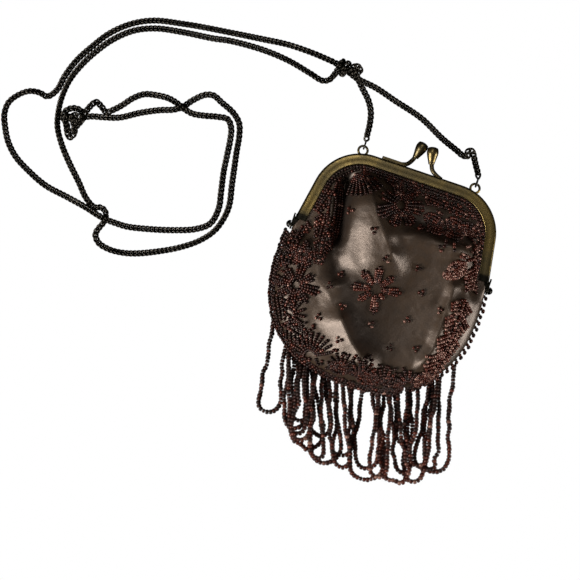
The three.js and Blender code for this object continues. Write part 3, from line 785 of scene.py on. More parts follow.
def stem_and_knob(stem, knob):
    """One bent stem with its pear-shaped knob."""
    bent = tube(curve_through(stem, STEM_SPACING), STEM_RADIUS, STEM_SIDES)
    return [bent, turned(**knob, profile=KNOB_PROFILE)]


def frame_half(name, node, flipped, extras):
    """One half of the frame with what is soldered to it."""
    shape = joined([channel(flipped), *extras])
    piece = make_piece(name, shape, antique_brass, [node], sharp_from=BRASS_SHARP)
    paint_points(piece, "wear", brass_wear(shape[0]))


strip = rounded_block(
    (STRIP["start"], TOP_Y - PLATE / 2, BACK_STEM_Z - STRIP["depth"] / 2),
    (STRIP["end"], TOP_Y + STRIP["thickness"], BACK_STEM_Z + STRIP["depth"] / 2),
    STRIP_SOFTNESS,
)
loops = [wire_ring((side * LOOP_X, LOOP_Y, LOOP_Z), LOOP_RADIUS, LOOP_WIRE, LEVEL) for side in SIDES]
back_lugs = [part for side in SIDES for part in lug(side * BACK_LUG_X, MID_Z - LUG_RADIUS, MID_Z - GAP)]
front_lugs = [part for side in SIDES for part in lug(side * FRONT_LUG_X, MID_Z + GAP, MID_Z + LUG_RADIUS)]
back_extras = [strip, *stem_and_knob(BACK_STEM, BACK_KNOB), *loops, *back_lugs]
front_extras = [*stem_and_knob(FRONT_STEM, FRONT_KNOB), *front_lugs, *[web(side) for side in SIDES]]
frame_half("brass_frame_back", "frame_back", False, back_extras)
frame_half("brass_frame_front", "frame_front", True, front_extras)

# %% Rivets and jump rings
RIVET_RADIUS = 0.8
RIVET_HEAD_RADIUS = 1.95
RIVET_HEAD_HEIGHT = 2.0
RIVET_SHARP = 50
RIVET_PIN = [(RIVET_RADIUS, 0), (RIVET_RADIUS, 1)]
RIVET_DOME = [(RIVET_HEAD_RADIUS * math.cos(a), math.sin(a)) for a in np.linspace(0, NEAR_POLE, 8)]
RIVET_HEAD = [(0.3, -0.02), (RIVET_HEAD_RADIUS, -0.02), *RIVET_DOME]
RING_RADIUS = 1.8
RING_WIRE = 0.45
RING_Y = LOOP_Y + LOOP_RADIUS + 0.4


def rivet(side):
    """A hinge rivet: its pin and its domed head, turned about X."""
    inner = on_hinge(side * (BACK_LUG_X - LUG_THICKNESS / 2))
    seat = FRONT_LUG_X + LUG_THICKNESS / 2 + GAP
    pin = turned(inner, on_hinge(side * seat), RIVET_PIN)
    head = turned(on_hinge(side * seat), on_hinge(side * (seat + RIVET_HEAD_HEIGHT)), RIVET_HEAD)
    return joined([pin, head])


for label, side in zip(("left", "right"), SIDES):
    node = f"hinge_rivet_{label}"
    make_piece(f"rivet_{label}", rivet(side), blackened, [node], sharp_from=RIVET_SHARP)
    jump = wire_ring((side * LOOP_X, RING_Y, LOOP_Z), RING_RADIUS, RING_WIRE, UPRIGHT)
    make_piece(f"ring_{label}", jump, dark_bronze, [f"jump_ring_{label}"])

# %% [markdown]
# ## The satin pouch
# Each panel is one sheet, gripped by the frame above and sewn to the other along a rounded seam below.
# The pouch is slack, so the front falls into a few deep folds that catch the light along their crests.
# A cloth simulation would give folds, but not these folds, so the height of the sheet is a function:
# a cushion and a little crumple, the large folds of the frame's own panel, round fills that level or swell
# them, and creased crests along them. A last table paints shade on the satin, deep in the folds.

# %% Panel outline
CLOTH = 1.2
SEAM_HALF_WIDTH = 50.9
SEAM_DEPTH = 50.1
SEAM_SQUARENESS = 2.35
SEAM_START = math.radians(175)
SEAM_END = 3 * math.pi - SEAM_START
SEAM_STEPS = 240
SEAM_Z = 4.2
CLOTH_INSET = 2.4
CLOTH_LEVEL = 1.7


def seam_point(angle, outwards=0.0):
    """Points of the seam at angles from +X, moved outwards."""
    x = (SEAM_HALF_WIDTH + outwards) * powered(np.cos(angle), 2 / SEAM_SQUARENESS)
    y = (SEAM_DEPTH + outwards) * powered(np.sin(angle), 2 / SEAM_SQUARENESS)
    return np.stack([x, y], axis=-1)


def polar(points):
    """The angles of points from +X, and their distances from the origin."""
    return np.arctan2(points[:, 1], points[:, 0]) % FULL_TURN, np.hypot(points[:, 0], points[:, 1])


def reach_of(outline):
    """A function that gives the distance from the origin to an outline, by angle."""
    angles, distances = polar(outline)
    order = np.argsort(angles)

    def reach(angle):
        return np.interp(angle, angles[order], distances[order], period=FULL_TURN)

    return reach


seam_angles = np.linspace(SEAM_END, SEAM_START, SEAM_STEPS)
edge = np.vstack([frame_line(CLOTH_INSET), seam_point(seam_angles)])
reach_at = reach_of(edge)
print("outline points:", len(edge))

# %% Folds
FOLD_COLUMNS = "name path rise left right"
FOLDS = table(
    FOLD_COLUMNS,
    ("left valley", [(-33, 46), (-29, 12), (-18, -8), (2, -36)], -5.5, 5.5, 5.5),
    ("left ridge", [(-33, -3), (-20, -19), (-4, -35)], 2.5, 4, 4),
    ("middle puff", [(-19, 40), (-9, 12)], 2.5, 8, 8),
    ("right fold", [(-2, 25), (33, 28)], 1.6, 3.5, 3.5),
    ("right hollow", [(2, 36), (33, 37)], -3.5, 5, 5),
    ("right border", [(38, 10), (38, -9), (32, -40)], 1.6, 4.5, 4.5),
    ("middle hollow", [(14, 4), (12, -27)], -3.5, 12, 12),
)
FILLS = table(
    FOLD_COLUMNS,
    ("valley end", [(-18, -8), (2, -36)], 5.0, 5.5, 5.5),
    ("round ridge", [(-33, -3), (-20, -19), (-4, -35)], -2.5, 4, 4),
    ("lower swell", [(-17, -41), (4, -43)], 2.6, 8, 6),
    ("puff flank", [(-3, 31), (10, 6)], 1.4, 11, 10),
    ("puff shoulder", [(-19, 40), (-9, 12)], -0.6, 8, 8),
    ("hollow rim", [(14, 4), (12, -27)], 1.3, 12, 12),
    ("right fold end", [(35.5, 27), (37, 22)], 1.6, 5, 5),
    ("valley foot", [(-25, 4), (-19, -7)], 2.6, 6, 6),
)
CRESTS = table(
    FOLD_COLUMNS,
    ("valley wall", [(-41, 47), (-37, 36), (-34, 24), (-32, 12)], 3.2, 4, 8),
    ("valley floor", [(-34, 47), (-30, 30), (-27.5, 15)], -6, 6, 5.5),
    ("puff crest", [(-18, 40), (-12.5, 30.4), (-6.8, 24), (0, 16)], 4.0, 20, 30),
    ("puff end", [(-12, 31), (-4, 21.2), (0, 16)], 2.6, 7, 34),
    ("left crest", [(-31.6, -6.5), (-23.4, -12.3), (-14.2, -21.4), (-4.7, -31.6), (1.9, -36.7)], 1.6, 13, 12),
    ("crest end", [(-12.5, -23.2), (-4.7, -31.6), (2.5, -37.5)], 6.0, 11, 17),
    ("pucker", [(39, 13), (47, 5)], 3.0, 4, 5),
    ("low pucker", [(38, -2), (46, -9)], 2.4, 4, 5),
    ("right crest", [(8, 29), (13.5, 30), (20, 29.1), (28.5, 29), (31, 29.6)], 1.8, 3, 10),
    (
        "border crest",
        [(34.5, 10), (34.5, 3.6), (34.3, -9.9), (34.7, -21.9), (32.5, -30), (31.6, -45)],
        1.9, 5, 5,
    ),
)
# Painted shade: the satin is painted darker deep in the folds and hollows, where shade falls.
FOLD_SHADES = table(
    FOLD_COLUMNS,
    ("valley", [(-34, 50), (-30, 30), (-27, 12)], 1.0, 6, 4),
    ("dip", [(-23, -1), (-12, -14), (-1, -28)], 0.8, 9, 4),
    ("hollow", [(6, 35), (20, 34), (35, 36)], 0.7, 5, 4),
    ("lower middle", [(10, -14), (12, -30)], 0.25, 14, 14),
)
CREASE_POWER = 1.8
FAR_AWAY = 1e6


def side_of(path, x, y):
    """Distance to a path of straight pieces, and the side: 1 left of its direction, -1 right of it."""
    nearest = np.full(np.shape(x), FAR_AWAY)
    side = np.zeros(np.shape(x))
    for (ax, ay), (bx, by) in zip(path, path[1:]):
        ux, uy = bx - ax, by - ay
        share = np.clip(((x - ax) * ux + (y - ay) * uy) / (ux * ux + uy * uy), 0, 1)
        dx, dy = x - ax - share * ux, y - ay - share * uy
        distance = np.hypot(dx, dy)
        turned_by = (ux * dy - uy * dx) / (math.hypot(ux, uy) * np.maximum(distance, 1 / FAR_AWAY))
        side = np.where(distance < nearest, turned_by, side)
        nearest = np.minimum(distance, nearest)
    return nearest, side


def fold_height(folds, x, y, creased=False):
    """The sum of folds at a place: each has its own reach to either side, and its top is round or creased."""
    height = np.zeros(np.shape(x))
    for fold in folds:
        away, side = side_of(fold["path"], x, y)
        share = away / (fold["right"] + (fold["left"] - fold["right"]) * (1 + side) / 2)
        form = np.clip(1 - share, 0, 1) ** CREASE_POWER if creased else np.exp(-(share**2))
        height += fold["rise"] * form
    return height


# %% Crumple
CRUMPLE_CELLS = 64
crumple_grid = rng.standard_normal((CRUMPLE_CELLS, CRUMPLE_CELLS))


def eased(share):
    """A share from 0 to 1 that starts and ends gently."""
    return share**2 * (3 - 2 * share)


def crumple(x, y, cell):
    """Smooth random height, about one bump to a cell."""
    column, row = np.asarray(x) / cell + CRUMPLE_CELLS / 2, np.asarray(y) / cell + CRUMPLE_CELLS / 2
    left, low = np.floor(column).astype(int), np.floor(row).astype(int)
    across, upwards = eased(column - left), eased(row - low)

    def at(dx, dy):
        return crumple_grid[(left + dx) % CRUMPLE_CELLS, (low + dy) % CRUMPLE_CELLS]

    lower = at(0, 0) * (1 - across) + at(1, 0) * across
    upper = at(0, 1) * (1 - across) + at(1, 1) * across
    return lower * (1 - upwards) + upper * upwards


# %% Heights of the panels
CREST_Z = 15.0
LOWEST_FRONT = 2.6
GRIP_Y = (HINGE_Y - 9, LEG_END_Y - 1)
CUSHION_POWER = 5
SLOPE_TO_CHANNEL = (0.62, 0.92)
FOLDS_FADE = (0.8, 0.93)
CREASES = table("height cell", (0.32, 11.0), (0.1, 5.0), (0.04, 2.2))
BACK_TURN_UP = 0.86
BACK_TO_CHANNEL = (0.8, 0.9)


def ramp(value, start, end):
    """0 before start, 1 after end, smooth between."""
    return eased(np.clip((value - start) / (end - start), 0, 1))


def soft_floor(height, low):
    """A height that levels out gently at its lowest."""
    return low + np.logaddexp(0, height - low)


def front_height(x, y, out, edge_y):
    """Height of the front sheet's middle. out is 0 at the panel's centre and 1 at its edge."""
    held = ramp(edge_y, *GRIP_Y)
    seam_z = SEAM_Z + GAP / 2
    edge_z = seam_z + (FRAME_DEPTH - CLOTH_LEVEL - seam_z) * held
    cushion = np.sqrt(np.clip(1 - out**CUSHION_POWER, 0, 1))
    to_channel = 1 - ramp(out, *SLOPE_TO_CHANNEL)
    full = cushion + (to_channel - cushion) * held
    calm = 1 - ramp(out, *FOLDS_FADE)
    folds = fold_height([*FOLDS, *FILLS], x, y) + fold_height(CRESTS, x, y, creased=True)
    creases = sum(crease["height"] * crumple(x, y, crease["cell"]) for crease in CREASES)
    height = edge_z + (CREST_Z - edge_z) * full + calm * (folds + creases)
    return height + (soft_floor(height, LOWEST_FRONT) - height) * calm


def back_height(x, y, out, edge_y):
    """Height of the back sheet's middle: flat, then turned up to the seam or into the channel."""
    held = ramp(edge_y, *GRIP_Y)
    flat = CLOTH / 2
    seam_z = SEAM_Z - GAP / 2
    edge_z = seam_z + (CLOTH_LEVEL - seam_z) * held
    past = np.clip((out - BACK_TURN_UP) / (1 - BACK_TURN_UP), 0, 1)
    turned_up = 1 - np.sqrt(1 - past**2)
    full = turned_up + (ramp(out, *BACK_TO_CHANNEL) - turned_up) * held
    return flat + (edge_z - flat) * full


# %% Panel sheets
FRONT_GRID = {"around": 400, "rows": 94}
BACK_GRID = {"around": 220, "rows": 40}


def panel_grid(height, around, rows):
    """The sheet's middle as a grid of rows from the centre outwards, and its upward directions."""
    angle = ring_angles(around)[None]
    out = np.sin(np.linspace(0, math.pi / 2, rows + 1))[:, None]
    reach = reach_at(angle)
    x, y = reach * np.cos(angle) * out, reach * np.sin(angle) * out
    z = height(x, y, out, reach * np.sin(angle))
    grid = np.stack([x, y, z], axis=-1)
    outwards = np.gradient(grid, axis=0)
    sideways = np.roll(grid, -1, axis=1) - np.roll(grid, 1, axis=1)
    upwards = unit(np.cross(outwards, sideways))
    upwards[0] = unit(upwards[1].mean(axis=0))
    return grid, upwards


def sheet_shape(grid, upwards):
    """A closed sheet of the cloth's thickness round a grid."""
    rows, around = grid.shape[:2]
    upper = grid + upwards * CLOTH / 2
    lower = grid - upwards * CLOTH / 2
    faces = [upper[1:].reshape(-1, 3), lower[1:].reshape(-1, 3)]
    count = (rows - 1) * around
    quads = grid_quads(rows - 1, around)
    ring = np.arange(around)
    following = (ring + 1) % around
    rim = np.stack([ring, following, following + count, ring + count], axis=1) + count - around
    top_fan = np.stack([np.full(around, 2 * count), ring, following], axis=1)
    low_fan = np.stack([np.full(around, 2 * count + 1), following + count, ring + count], axis=1)
    return np.vstack([*faces, upper[0, :1], lower[0, :1]]), [quads, quads + count, rim, top_fan, low_fan]


front_grid, front_up = panel_grid(front_height, **FRONT_GRID)
front_shape = sheet_shape(front_grid, front_up)
front_x, front_y, _ = front_shape[0].T
back_shape = sheet_shape(*panel_grid(back_height, **BACK_GRID))
pouch_front = make_piece("satin_front", front_shape, front_satin, ["pouch_front"])
# The painted shade of the folds goes on the front sheet's points.
paint_points(pouch_front, "fold_shade", np.clip(fold_height(FOLD_SHADES, front_x, front_y), 0, 1))
pouch_back = make_piece("satin_back", back_shape, back_satin, ["pouch_back"])

# %% [markdown]
# ## Seed beads
# A seed bead is a short glass tube with rounded ends, strung or sewn side by side. One bead is modelled as a
# barrel with a dimple at each end for its hole, and every string of beads places copies of it along a path.
# On the cloth a path is drawn flat, in x and y, and laid on the sheet, so that the beads follow the folds.

# %% Beads on a path
BEAD = {"radius": 0.88, "length": 1.32}
FRINGE_BEAD = {"radius": 1.24, "length": 1.75}
BEAD_PROFILE = [(0.35, -0.42), (0.7, -0.5), (0.97, -0.21), (0.97, 0.21), (0.7, 0.5), (0.35, 0.42)]
BEAD_SIDES = 8
SIZE_SPREAD = 0.05
LOOK_ALONG = 0.3
TINT_SPREAD = 0.26
# Painted light: beads are painted redder and brighter to the right, where the light falls.
PAINTED_LIGHT_TO_RIGHT = 0.25
# Painted highlights: a few beads are painted pale pink as glints.
GLINT_SHARE = 0.05
GLINT_TINT = 0.5
PURSE_WIDTH = 100


def bead_shape(radius, length):
    """One bead about its own X, closed at the bottom of its dimples."""
    out, along = np.array(BEAD_PROFILE).T[:, :, None]
    angles = ring_angles(BEAD_SIDES)
    around = [out * radius * np.cos(angles), out * radius * np.sin(angles)]
    return capped(np.stack([along * length + 0 * angles, *around], axis=-1))


def strung(path, pitch):
    """Places and axes for beads side by side along a path."""
    run = run_along(path)
    count = max(1, round(run[-1] / pitch))
    marks = (np.arange(count) + 0.5) * run[-1] / count
    ahead = at_marks(path, run, marks + LOOK_ALONG * pitch)
    behind = at_marks(path, run, marks - LOOK_ALONG * pitch)
    return at_marks(path, run, marks), axes_from(unit(ahead - behind), NEARLY_UP)


def gathered(strings):
    """The places and the axes of several strings together."""
    places, axes = zip(*strings)
    return np.vstack(places), np.concatenate(axes)


def bead_tints(places, base, glint_share):
    """Redness of beads: a random share, painted light that makes them redder to the right of the purse, and a
    few pale ones as painted glints.
    """
    across = np.clip((places[:, 0] + PURSE_WIDTH / 2) / PURSE_WIDTH, 0, 1)
    # The few pale beads are painted glints.
    glinting = rng.random(len(places)) < glint_share
    spread = TINT_SPREAD * rng.standard_normal(len(places))
    return np.clip(base + PAINTED_LIGHT_TO_RIGHT * across + spread + GLINT_TINT * glinting, 0, 1)


def bead_piece(name, strings, size, base, stands_for=(), glint_share=GLINT_SHARE):
    """Strings of beads as one piece: base is the redness of all its beads, or of each."""
    places, axes = gathered(strings)
    tints = bead_tints(places, base, glint_share)
    axes = axes * rng.normal(1.0, SIZE_SPREAD, len(axes))[:, None, None]
    one = bead_shape(**size)
    piece = make_piece(name, copies(one, places, axes), garnet, stands_for)
    paint_points(piece, "tint", np.repeat(tints, len(one[0])))
    return piece


# %% Beads on the cloth
LAID_SHARE = 0.7
SEWING_STEP = 0.3
INSIDE_EDGE = 0.001


def on_cloth(flat):
    """Points of the front sheet's upper face above flat points, and the directions out of the cloth there."""
    rows, around = front_grid.shape[:2]
    angle, distance = polar(flat)
    out = np.clip(distance / reach_at(angle), 0, 1)
    column = angle / FULL_TURN * around
    row = np.clip(np.arcsin(out) / (math.pi / 2) * (rows - 1), 0, rows - 1 - INSIDE_EDGE)
    low_row, low_column = row.astype(int), column.astype(int) % around
    high_column = (low_column + 1) % around
    v, u = (row - low_row)[:, None], (column - np.floor(column))[:, None]

    def blend(grid):
        inner = grid[low_row, low_column] * (1 - u) + grid[low_row, high_column] * u
        outer = grid[low_row + 1, low_column] * (1 - u) + grid[low_row + 1, high_column] * u
        return inner * (1 - v) + outer * v

    upwards = unit(blend(front_up))
    return blend(front_grid) + upwards * CLOTH / 2, upwards


def sewn(flat_path, pitch=BEAD["length"]):
    """Places and axes of beads sewn along a flat path on the front sheet."""
    surface, _ = on_cloth(evenly(np.asarray(flat_path, float), SEWING_STEP))
    places, axes = strung(surface, pitch)
    _, upwards = on_cloth(places[:, :2])
    return places + upwards * BEAD["radius"] * LAID_SHARE, axes_from(axes[:, 0], upwards)


# %% [markdown]
# ## The embroidery
# The beadwork is a common floral border: open flowers, pointed leaves, ferns and fans round the edge,
# one flower in the middle and small sprigs of three strings between. Each motif is a few flat strings drawn
# by a function, and a table says where each stands, how large it is and which way it is turned.
# Short strings then fill the gaps, because real beadwork leaves little cloth bare between its motifs.

# %% Motifs
STRING_GAP = 1.6
PETAL_GAP = 1.4
LEAF = {"trim": 0.06, "steps": 14, "roundness": 0.8}
PETAL = {"base_in": 0.1, "base_width": 0.55, "shorter": 0.16}
SHORT_PETAL = 0.7
FERN = {"gap": 1.35 * STRING_GAP, "first": 0.2, "taper": 0.55, "ahead": 0.5, "aside": 1.1, "slant": 0.8}
FAN_HEART = 0.22
SPRIG_HEART = 0.3
SPRIG_TURNS = (0.4, 2.2, 4.4)


def leaf(size, width):
    """A pointed leaf along +X from its base: strings that part in the middle and meet at the tip."""
    lines = []
    for side in np.linspace(-1, 1, max(3, round(size * width / STRING_GAP) + 1)):
        trim = LEAF["trim"] * abs(side)
        share = np.linspace(2 * trim, 1 - trim, LEAF["steps"])
        aside = side * width * size / 2 * np.sin(math.pi * share) ** LEAF["roundness"]
        lines.append(np.column_stack([share * size, aside]))
    return lines


def moved(lines, x, y, turn):
    """Flat lines turned by an angle in degrees and carried to a place."""
    angle = math.radians(turn)
    spin = np.array([[math.cos(angle), math.sin(angle)], [-math.sin(angle), math.cos(angle)]])
    return [line @ spin + (x, y) for line in lines]


def petal(size, width):
    """A blunt petal along +X: straight strings side by side that part a little, the outer ones shorter."""
    lines = []
    for side in np.linspace(-1, 1, max(3, round(size * width / PETAL_GAP))):
        aside = side * width * size / 2
        start = (PETAL["base_in"] * size * abs(side), PETAL["base_width"] * aside)
        lines.append(np.array([start, (size * (1 - PETAL["shorter"] * abs(side)), aside)]))
    return lines


def flower(size, petals, width, heart):
    """A flower of petals round an open heart: each petal has an angle and a share of the full length."""
    inner = heart * size
    lines = []
    for turn, share in petals:
        lines += moved([line + (inner, 0) for line in petal(share * size - inner, width)], 0, 0, turn)
    return lines


def even_petals(count):
    """Petals of the same length all round, with a short one between each pair."""
    return [(180 * k / count, SHORT_PETAL if k % 2 else 1.0) for k in range(2 * count)]


def fern(size, width):
    """A stem along +X with pairs of strings that slant forwards, close together."""
    lines = [np.array([(0.0, 0.0), (size, 0.0)])]
    pairs = round(size / FERN["gap"])
    for k in range(pairs):
        start = size * (k + FERN["first"]) / pairs
        reach = width * size / 2 * (1 - FERN["taper"] * k / pairs)
        for side in SIDES:
            root = (start + FERN["ahead"], side * FERN["aside"])
            lines.append(np.array([root, (start + FERN["slant"] * reach, side * reach)]))
    return lines


def spoke(angle, inner, outer):
    """A straight string from one distance to another, at an angle in radians."""
    return np.outer((inner, outer), (math.cos(angle), math.sin(angle)))


def fan(size, strings, spread):
    """Strings that radiate from the origin round +X."""
    angles = np.radians(np.linspace(-spread / 2, spread / 2, strings))
    return [spoke(angle, FAN_HEART * size, size) for angle in angles]


def sprig(size):
    """Three short strings round a point."""
    return [spoke(angle, SPRIG_HEART * size, size) for angle in SPRIG_TURNS]


# %% Embroidery tables
# Own holds what follows the size in the motif's function: a leaf's or a fern's width, a fan's strings and
# spread, or a flower's petals, width and heart.
MOTIFS = "motif x y size turn own"
LOOSE = [(0, 1), (44, 0.82), (88, 1), (136, 0.8), (181, 0.95), (226, 0.82), (271, 1), (317, 0.84)]
WIDE = [(0, 1), (50, 0.92), (103, 1), (155, 0.86), (206, 1), (257, 0.9), (308, 0.95)]
BLOSSOM = [(-79, 1), (-34, 0.5), (9, 1), (52, 0.85), (97, 0.92), (142, 0.9), (189, 1), (228, 0.82)]
SPRIG_SIZE = 1.9
SPRIG_TURN = 37
SPRIGS = [
    (-25.3, 29.5), (-11.8, 24.0), (-1.7, 12.6), (14.9, 13.5), (22.6, 26.7), (-19.9, -2.0), (-23.8, -9.1),
    (-14.8, -17.1), (20.4, 2.2), (18.1, -12.9), (32.3, -3.3), (1.7, -20.5), (-23.6, -25.4), (-10.6, -32.6),
    (26.8, -24.7), (14.3, -28.4),
]
MIDDLE = table(
    MOTIFS,
    (flower, -1.7, -3.2, 12.8, 2, (BLOSSOM, 0.3, 0.2)),
    *[(sprig, x, y, SPRIG_SIZE, SPRIG_TURN * k, ()) for k, (x, y) in enumerate(SPRIGS)],
)
TOP = table(
    MOTIFS,
    (fan, -28.5, 51.5, 15.0, -58, (9, 66)),
    (flower, -3.7, 39.6, 13.0, 12, (WIDE, 0.5, 0.14)),
    (leaf, -15.0, 49.5, 10.0, 2, (0.4,)),
    (leaf, -4.0, 50.0, 9.0, -2, (0.4,)),
    (fern, 7.0, 47.5, 12.0, -3, (0.55,)),
    (fern, 19.0, 47.5, 12.0, -8, (0.55,)),
    (leaf, 9.0, 39.5, 12.0, -14, (0.5,)),
    (leaf, 20.0, 41.0, 12.0, -16, (0.55,)),
    (fan, 32.5, 33.5, 10.0, 100, (9, 110)),
    (leaf, 12.0, 34.5, 10.0, -8, (0.45,)),
    (leaf, 21.0, 34.5, 10.0, 0, (0.5,)),
)
LEFT = table(
    MOTIFS,
    (leaf, -37.0, 46.0, 40.0, -79, (0.13,)),
    (fern, -37.5, 36.0, 13.0, -108, (0.6,)),
    (fern, -36.5, 24.5, 13.0, -86, (0.75,)),
    (fern, -34.0, 12.0, 13.0, -84, (0.6,)),
    (flower, -40.5, 1.5, 7.0, 25, (even_petals(5), 0.4, 0.15)),
    (flower, -39.4, -14.0, 12.5, 2, (LOOSE, 0.36, 0.14)),
    (leaf, -47.0, 4.0, 11.0, -95, (0.35,)),
    (fern, -45.5, 19.0, 15.0, -97, (0.5,)),
)
BOTTOM = table(
    MOTIFS,
    (fern, -46.0, -22.0, 12.0, -62, (0.7,)),
    (fan, -37.5, -28.5, 7.5, 10, (7, 170)),
    (fern, -39.5, -34.0, 14.0, -16, (0.85,)),
    (fan, -21.5, -44.5, 11.5, 112, (12, 165)),
    (fan, -5.5, -45.0, 7.5, 100, (9, 200)),
    (leaf, -12.0, -45.5, 12.0, 4, (0.5,)),
    (fan, 5.0, -46.5, 8.5, 80, (10, 190)),
    (leaf, 2.0, -46.0, 12.0, 2, (0.45,)),
    (fan, 17.5, -46.5, 8.5, 95, (10, 190)),
    (leaf, 15.0, -45.5, 12.0, 10, (0.45,)),
    (fan, 28.5, -42.5, 7.0, 110, (8, 170)),
)
RIGHT = table(
    MOTIFS,
    (fern, 36.0, 44.0, 11.0, -60, (0.6,)),
    (fern, 41.5, 35.0, 12.0, -82, (0.75,)),
    (fern, 43.0, 24.0, 13.0, -88, (0.95,)),
    (leaf, 36.0, 24.0, 12.0, -120, (0.6,)),
    (leaf, 36.5, 18.0, 10.0, -155, (0.5,)),
    (fern, 41.5, 6.0, 9.0, -94, (1.2,)),
    (fern, 41.5, -1.0, 13.0, -92, (0.95,)),
    (fern, 41.0, -12.0, 13.0, -92, (0.95,)),
    (fern, 40.5, -22.0, 14.0, -98, (1.0,)),
    (leaf, 38.5, -33.5, 11.0, -130, (0.6,)),
)

# %% Areas to fill
AREA = "x y reach"
SEAM_AREA = {"out": -1.6, "reach": 3.2}
ALONG_SEAM = range(174, 322, 3)
TOP_AREAS = table(
    AREA, (-23.7, 45, 6.5), (-12, 48, 6), (6, 46, 7), (17, 44, 8), (28, 41, 8), (14, 36, 6), (26, 34, 6),
)
LEFT_AREAS = table(AREA, (-46, 12, 5), (-39, 30, 6), (-38, 18, 6), (-36, 6, 6), (-42, 2, 7))
BOTTOM_AREAS = table(
    AREA,
    *[(*seam_point(math.radians(angle), SEAM_AREA["out"]), SEAM_AREA["reach"]) for angle in ALONG_SEAM],
    (-38, -28, 2.5), (-21.5, -44, 3), (-42, -26, 8), (-38, -32, 8), (-36, -33, 8), (-29, -36, 7),
    (-20, -41, 8), (-8, -44, 7), (4, -44, 8), (17, -44, 8), (27, -42, 7),
)
RIGHT_AREAS = table(
    AREA,
    (40, 37, 6), (43, 25, 6), (37, 27, 5), (34, 20, 6), (42, 0, 4), (42, -11, 4), (40, -22, 5), (37, -33, 6),
)
FIELDS = table(
    "place base tries motifs areas",
    ("middle", 0.4, 0, MIDDLE, []),
    ("top", 0.16, 4, TOP, TOP_AREAS),
    ("left", 0.24, 3, LEFT, LEFT_AREAS),
    ("bottom", 0.08, 13, BOTTOM, BOTTOM_AREAS),
    ("right", 0.56, 3, RIGHT, RIGHT_AREAS),
)

# %% Sewing the tables
FILL_CLEAR = 1.25
FILL_HALVES = [0.5, 1.0, 1.5]
FILL_SPOT = 0.7
FRAME_CLEAR = BAND + 1.0
SEAM_CLEAR = -1.5
BARE_STRIP = {"from": 318, "fade": 12, "width": 3.4}
strip_share = np.clip((np.degrees(seam_angles) - BARE_STRIP["from"]) / BARE_STRIP["fade"], 0, 1)
bare = (SEAM_CLEAR + BARE_STRIP["width"] * strip_share) / SEAM_HALF_WIDTH
open_line = seam_point(seam_angles) * (1 - bare)[:, None]
open_reach = reach_of(np.vstack([frame_line(FRAME_CLEAR), open_line]))


def on_open_cloth(string):
    """The beads of a string that lie clear of the frame and the seam."""
    places, axes = string
    angle, distance = polar(places)
    clear = distance < open_reach(angle)
    return places[clear], axes[clear]


def gap_strings(areas, tries, taken):
    """Short strings at random in the gaps between beads that are sewn already, inside round areas."""
    lines = []
    for area in areas:
        for _ in range(round(tries * area["reach"])):
            angle, turn = FULL_TURN * rng.random(2)
            away = area["reach"] * math.sqrt(rng.random())
            centre = np.array([area["x"] + away * math.cos(angle), area["y"] + away * math.sin(angle)])
            half = BEAD["length"] * rng.choice(FILL_HALVES) * np.array([math.cos(turn), math.sin(turn)])
            spots = np.array([centre - FILL_SPOT * half, centre, centre + FILL_SPOT * half])
            if np.linalg.norm(taken[None] - spots[:, None], axis=2).min() > FILL_CLEAR:
                lines.append(np.array([centre - half, centre + half]))
                taken = np.vstack([taken, spots])
    return lines


def embroider(place, base, tries, motifs, areas):
    """All the motifs of one table, and the strings that fill their gaps, sewn to the cloth as one piece."""
    strings = []
    for row in motifs:
        lines = moved(row["motif"](row["size"], *row["own"]), row["x"], row["y"], row["turn"])
        strings.extend(sewn(line) for line in lines)
    taken, _ = gathered(strings)
    strings.extend(sewn(line) for line in gap_strings(areas, tries, taken[:, :2]))
    return bead_piece(f"embroidery_{place}", [on_open_cloth(string) for string in strings], BEAD, base)


embroidery = [embroider(**row) for row in FIELDS]

# %% [markdown]
# ## Edge rows, rope and fringe
# Two rows of beads run along the frame's lip. Over the seam the beads are sewn in short slanted stitches that
# wrap the edge like a rope. The fringe is a row of strung loops, thrown together as the purse was laid down,
# with a few more loops where they bunch. Each loop has a layer of its own, and where two still meet, the
# later one is lifted over the other.

# %% Rows along the frame
LIP_ROWS = [BAND + 0.9, BAND + 2.5]
LIP_PITCH = 1.6
LIP_ENDS = 3
LIP_TINT = 0.0
lip_strings = [sewn(frame_line(inset)[LIP_ENDS:-LIP_ENDS], LIP_PITCH) for inset in LIP_ROWS]
lip_row = bead_piece("bead_rows", lip_strings, BEAD, LIP_TINT)

# %% Rope over the seam
ROPE_RADIUS = 1.4
ROPE_OUT = CLOTH / 2 + GAP + ROPE_RADIUS
ROPE_START = math.radians(171.6)
ROPE_STEPS = 600
ROPE_PITCH = 1.62
ROPE_TINT = 0.02
ROPE_BEAD = {"radius": 0.86, "length": 1.5}
ROPE_STITCH = table(
    "outwards upwards ahead tilt",
    (0.75, -0.55, -0.5, -70),
    (0.7, 0.35, 0.0, 40),
    (-0.55, 0.85, 0.55, 10),
    (-1.5, 1.2, 1.0, -25),
)
STITCH_SLANT = 0.45
STITCH_SPREAD = 0.18
STITCHES_APART = {"x": 26.0, "fade": 3}


def at_height(flat, height):
    """Flat points or directions with a height."""
    return np.column_stack([flat, np.full(len(flat), height)])


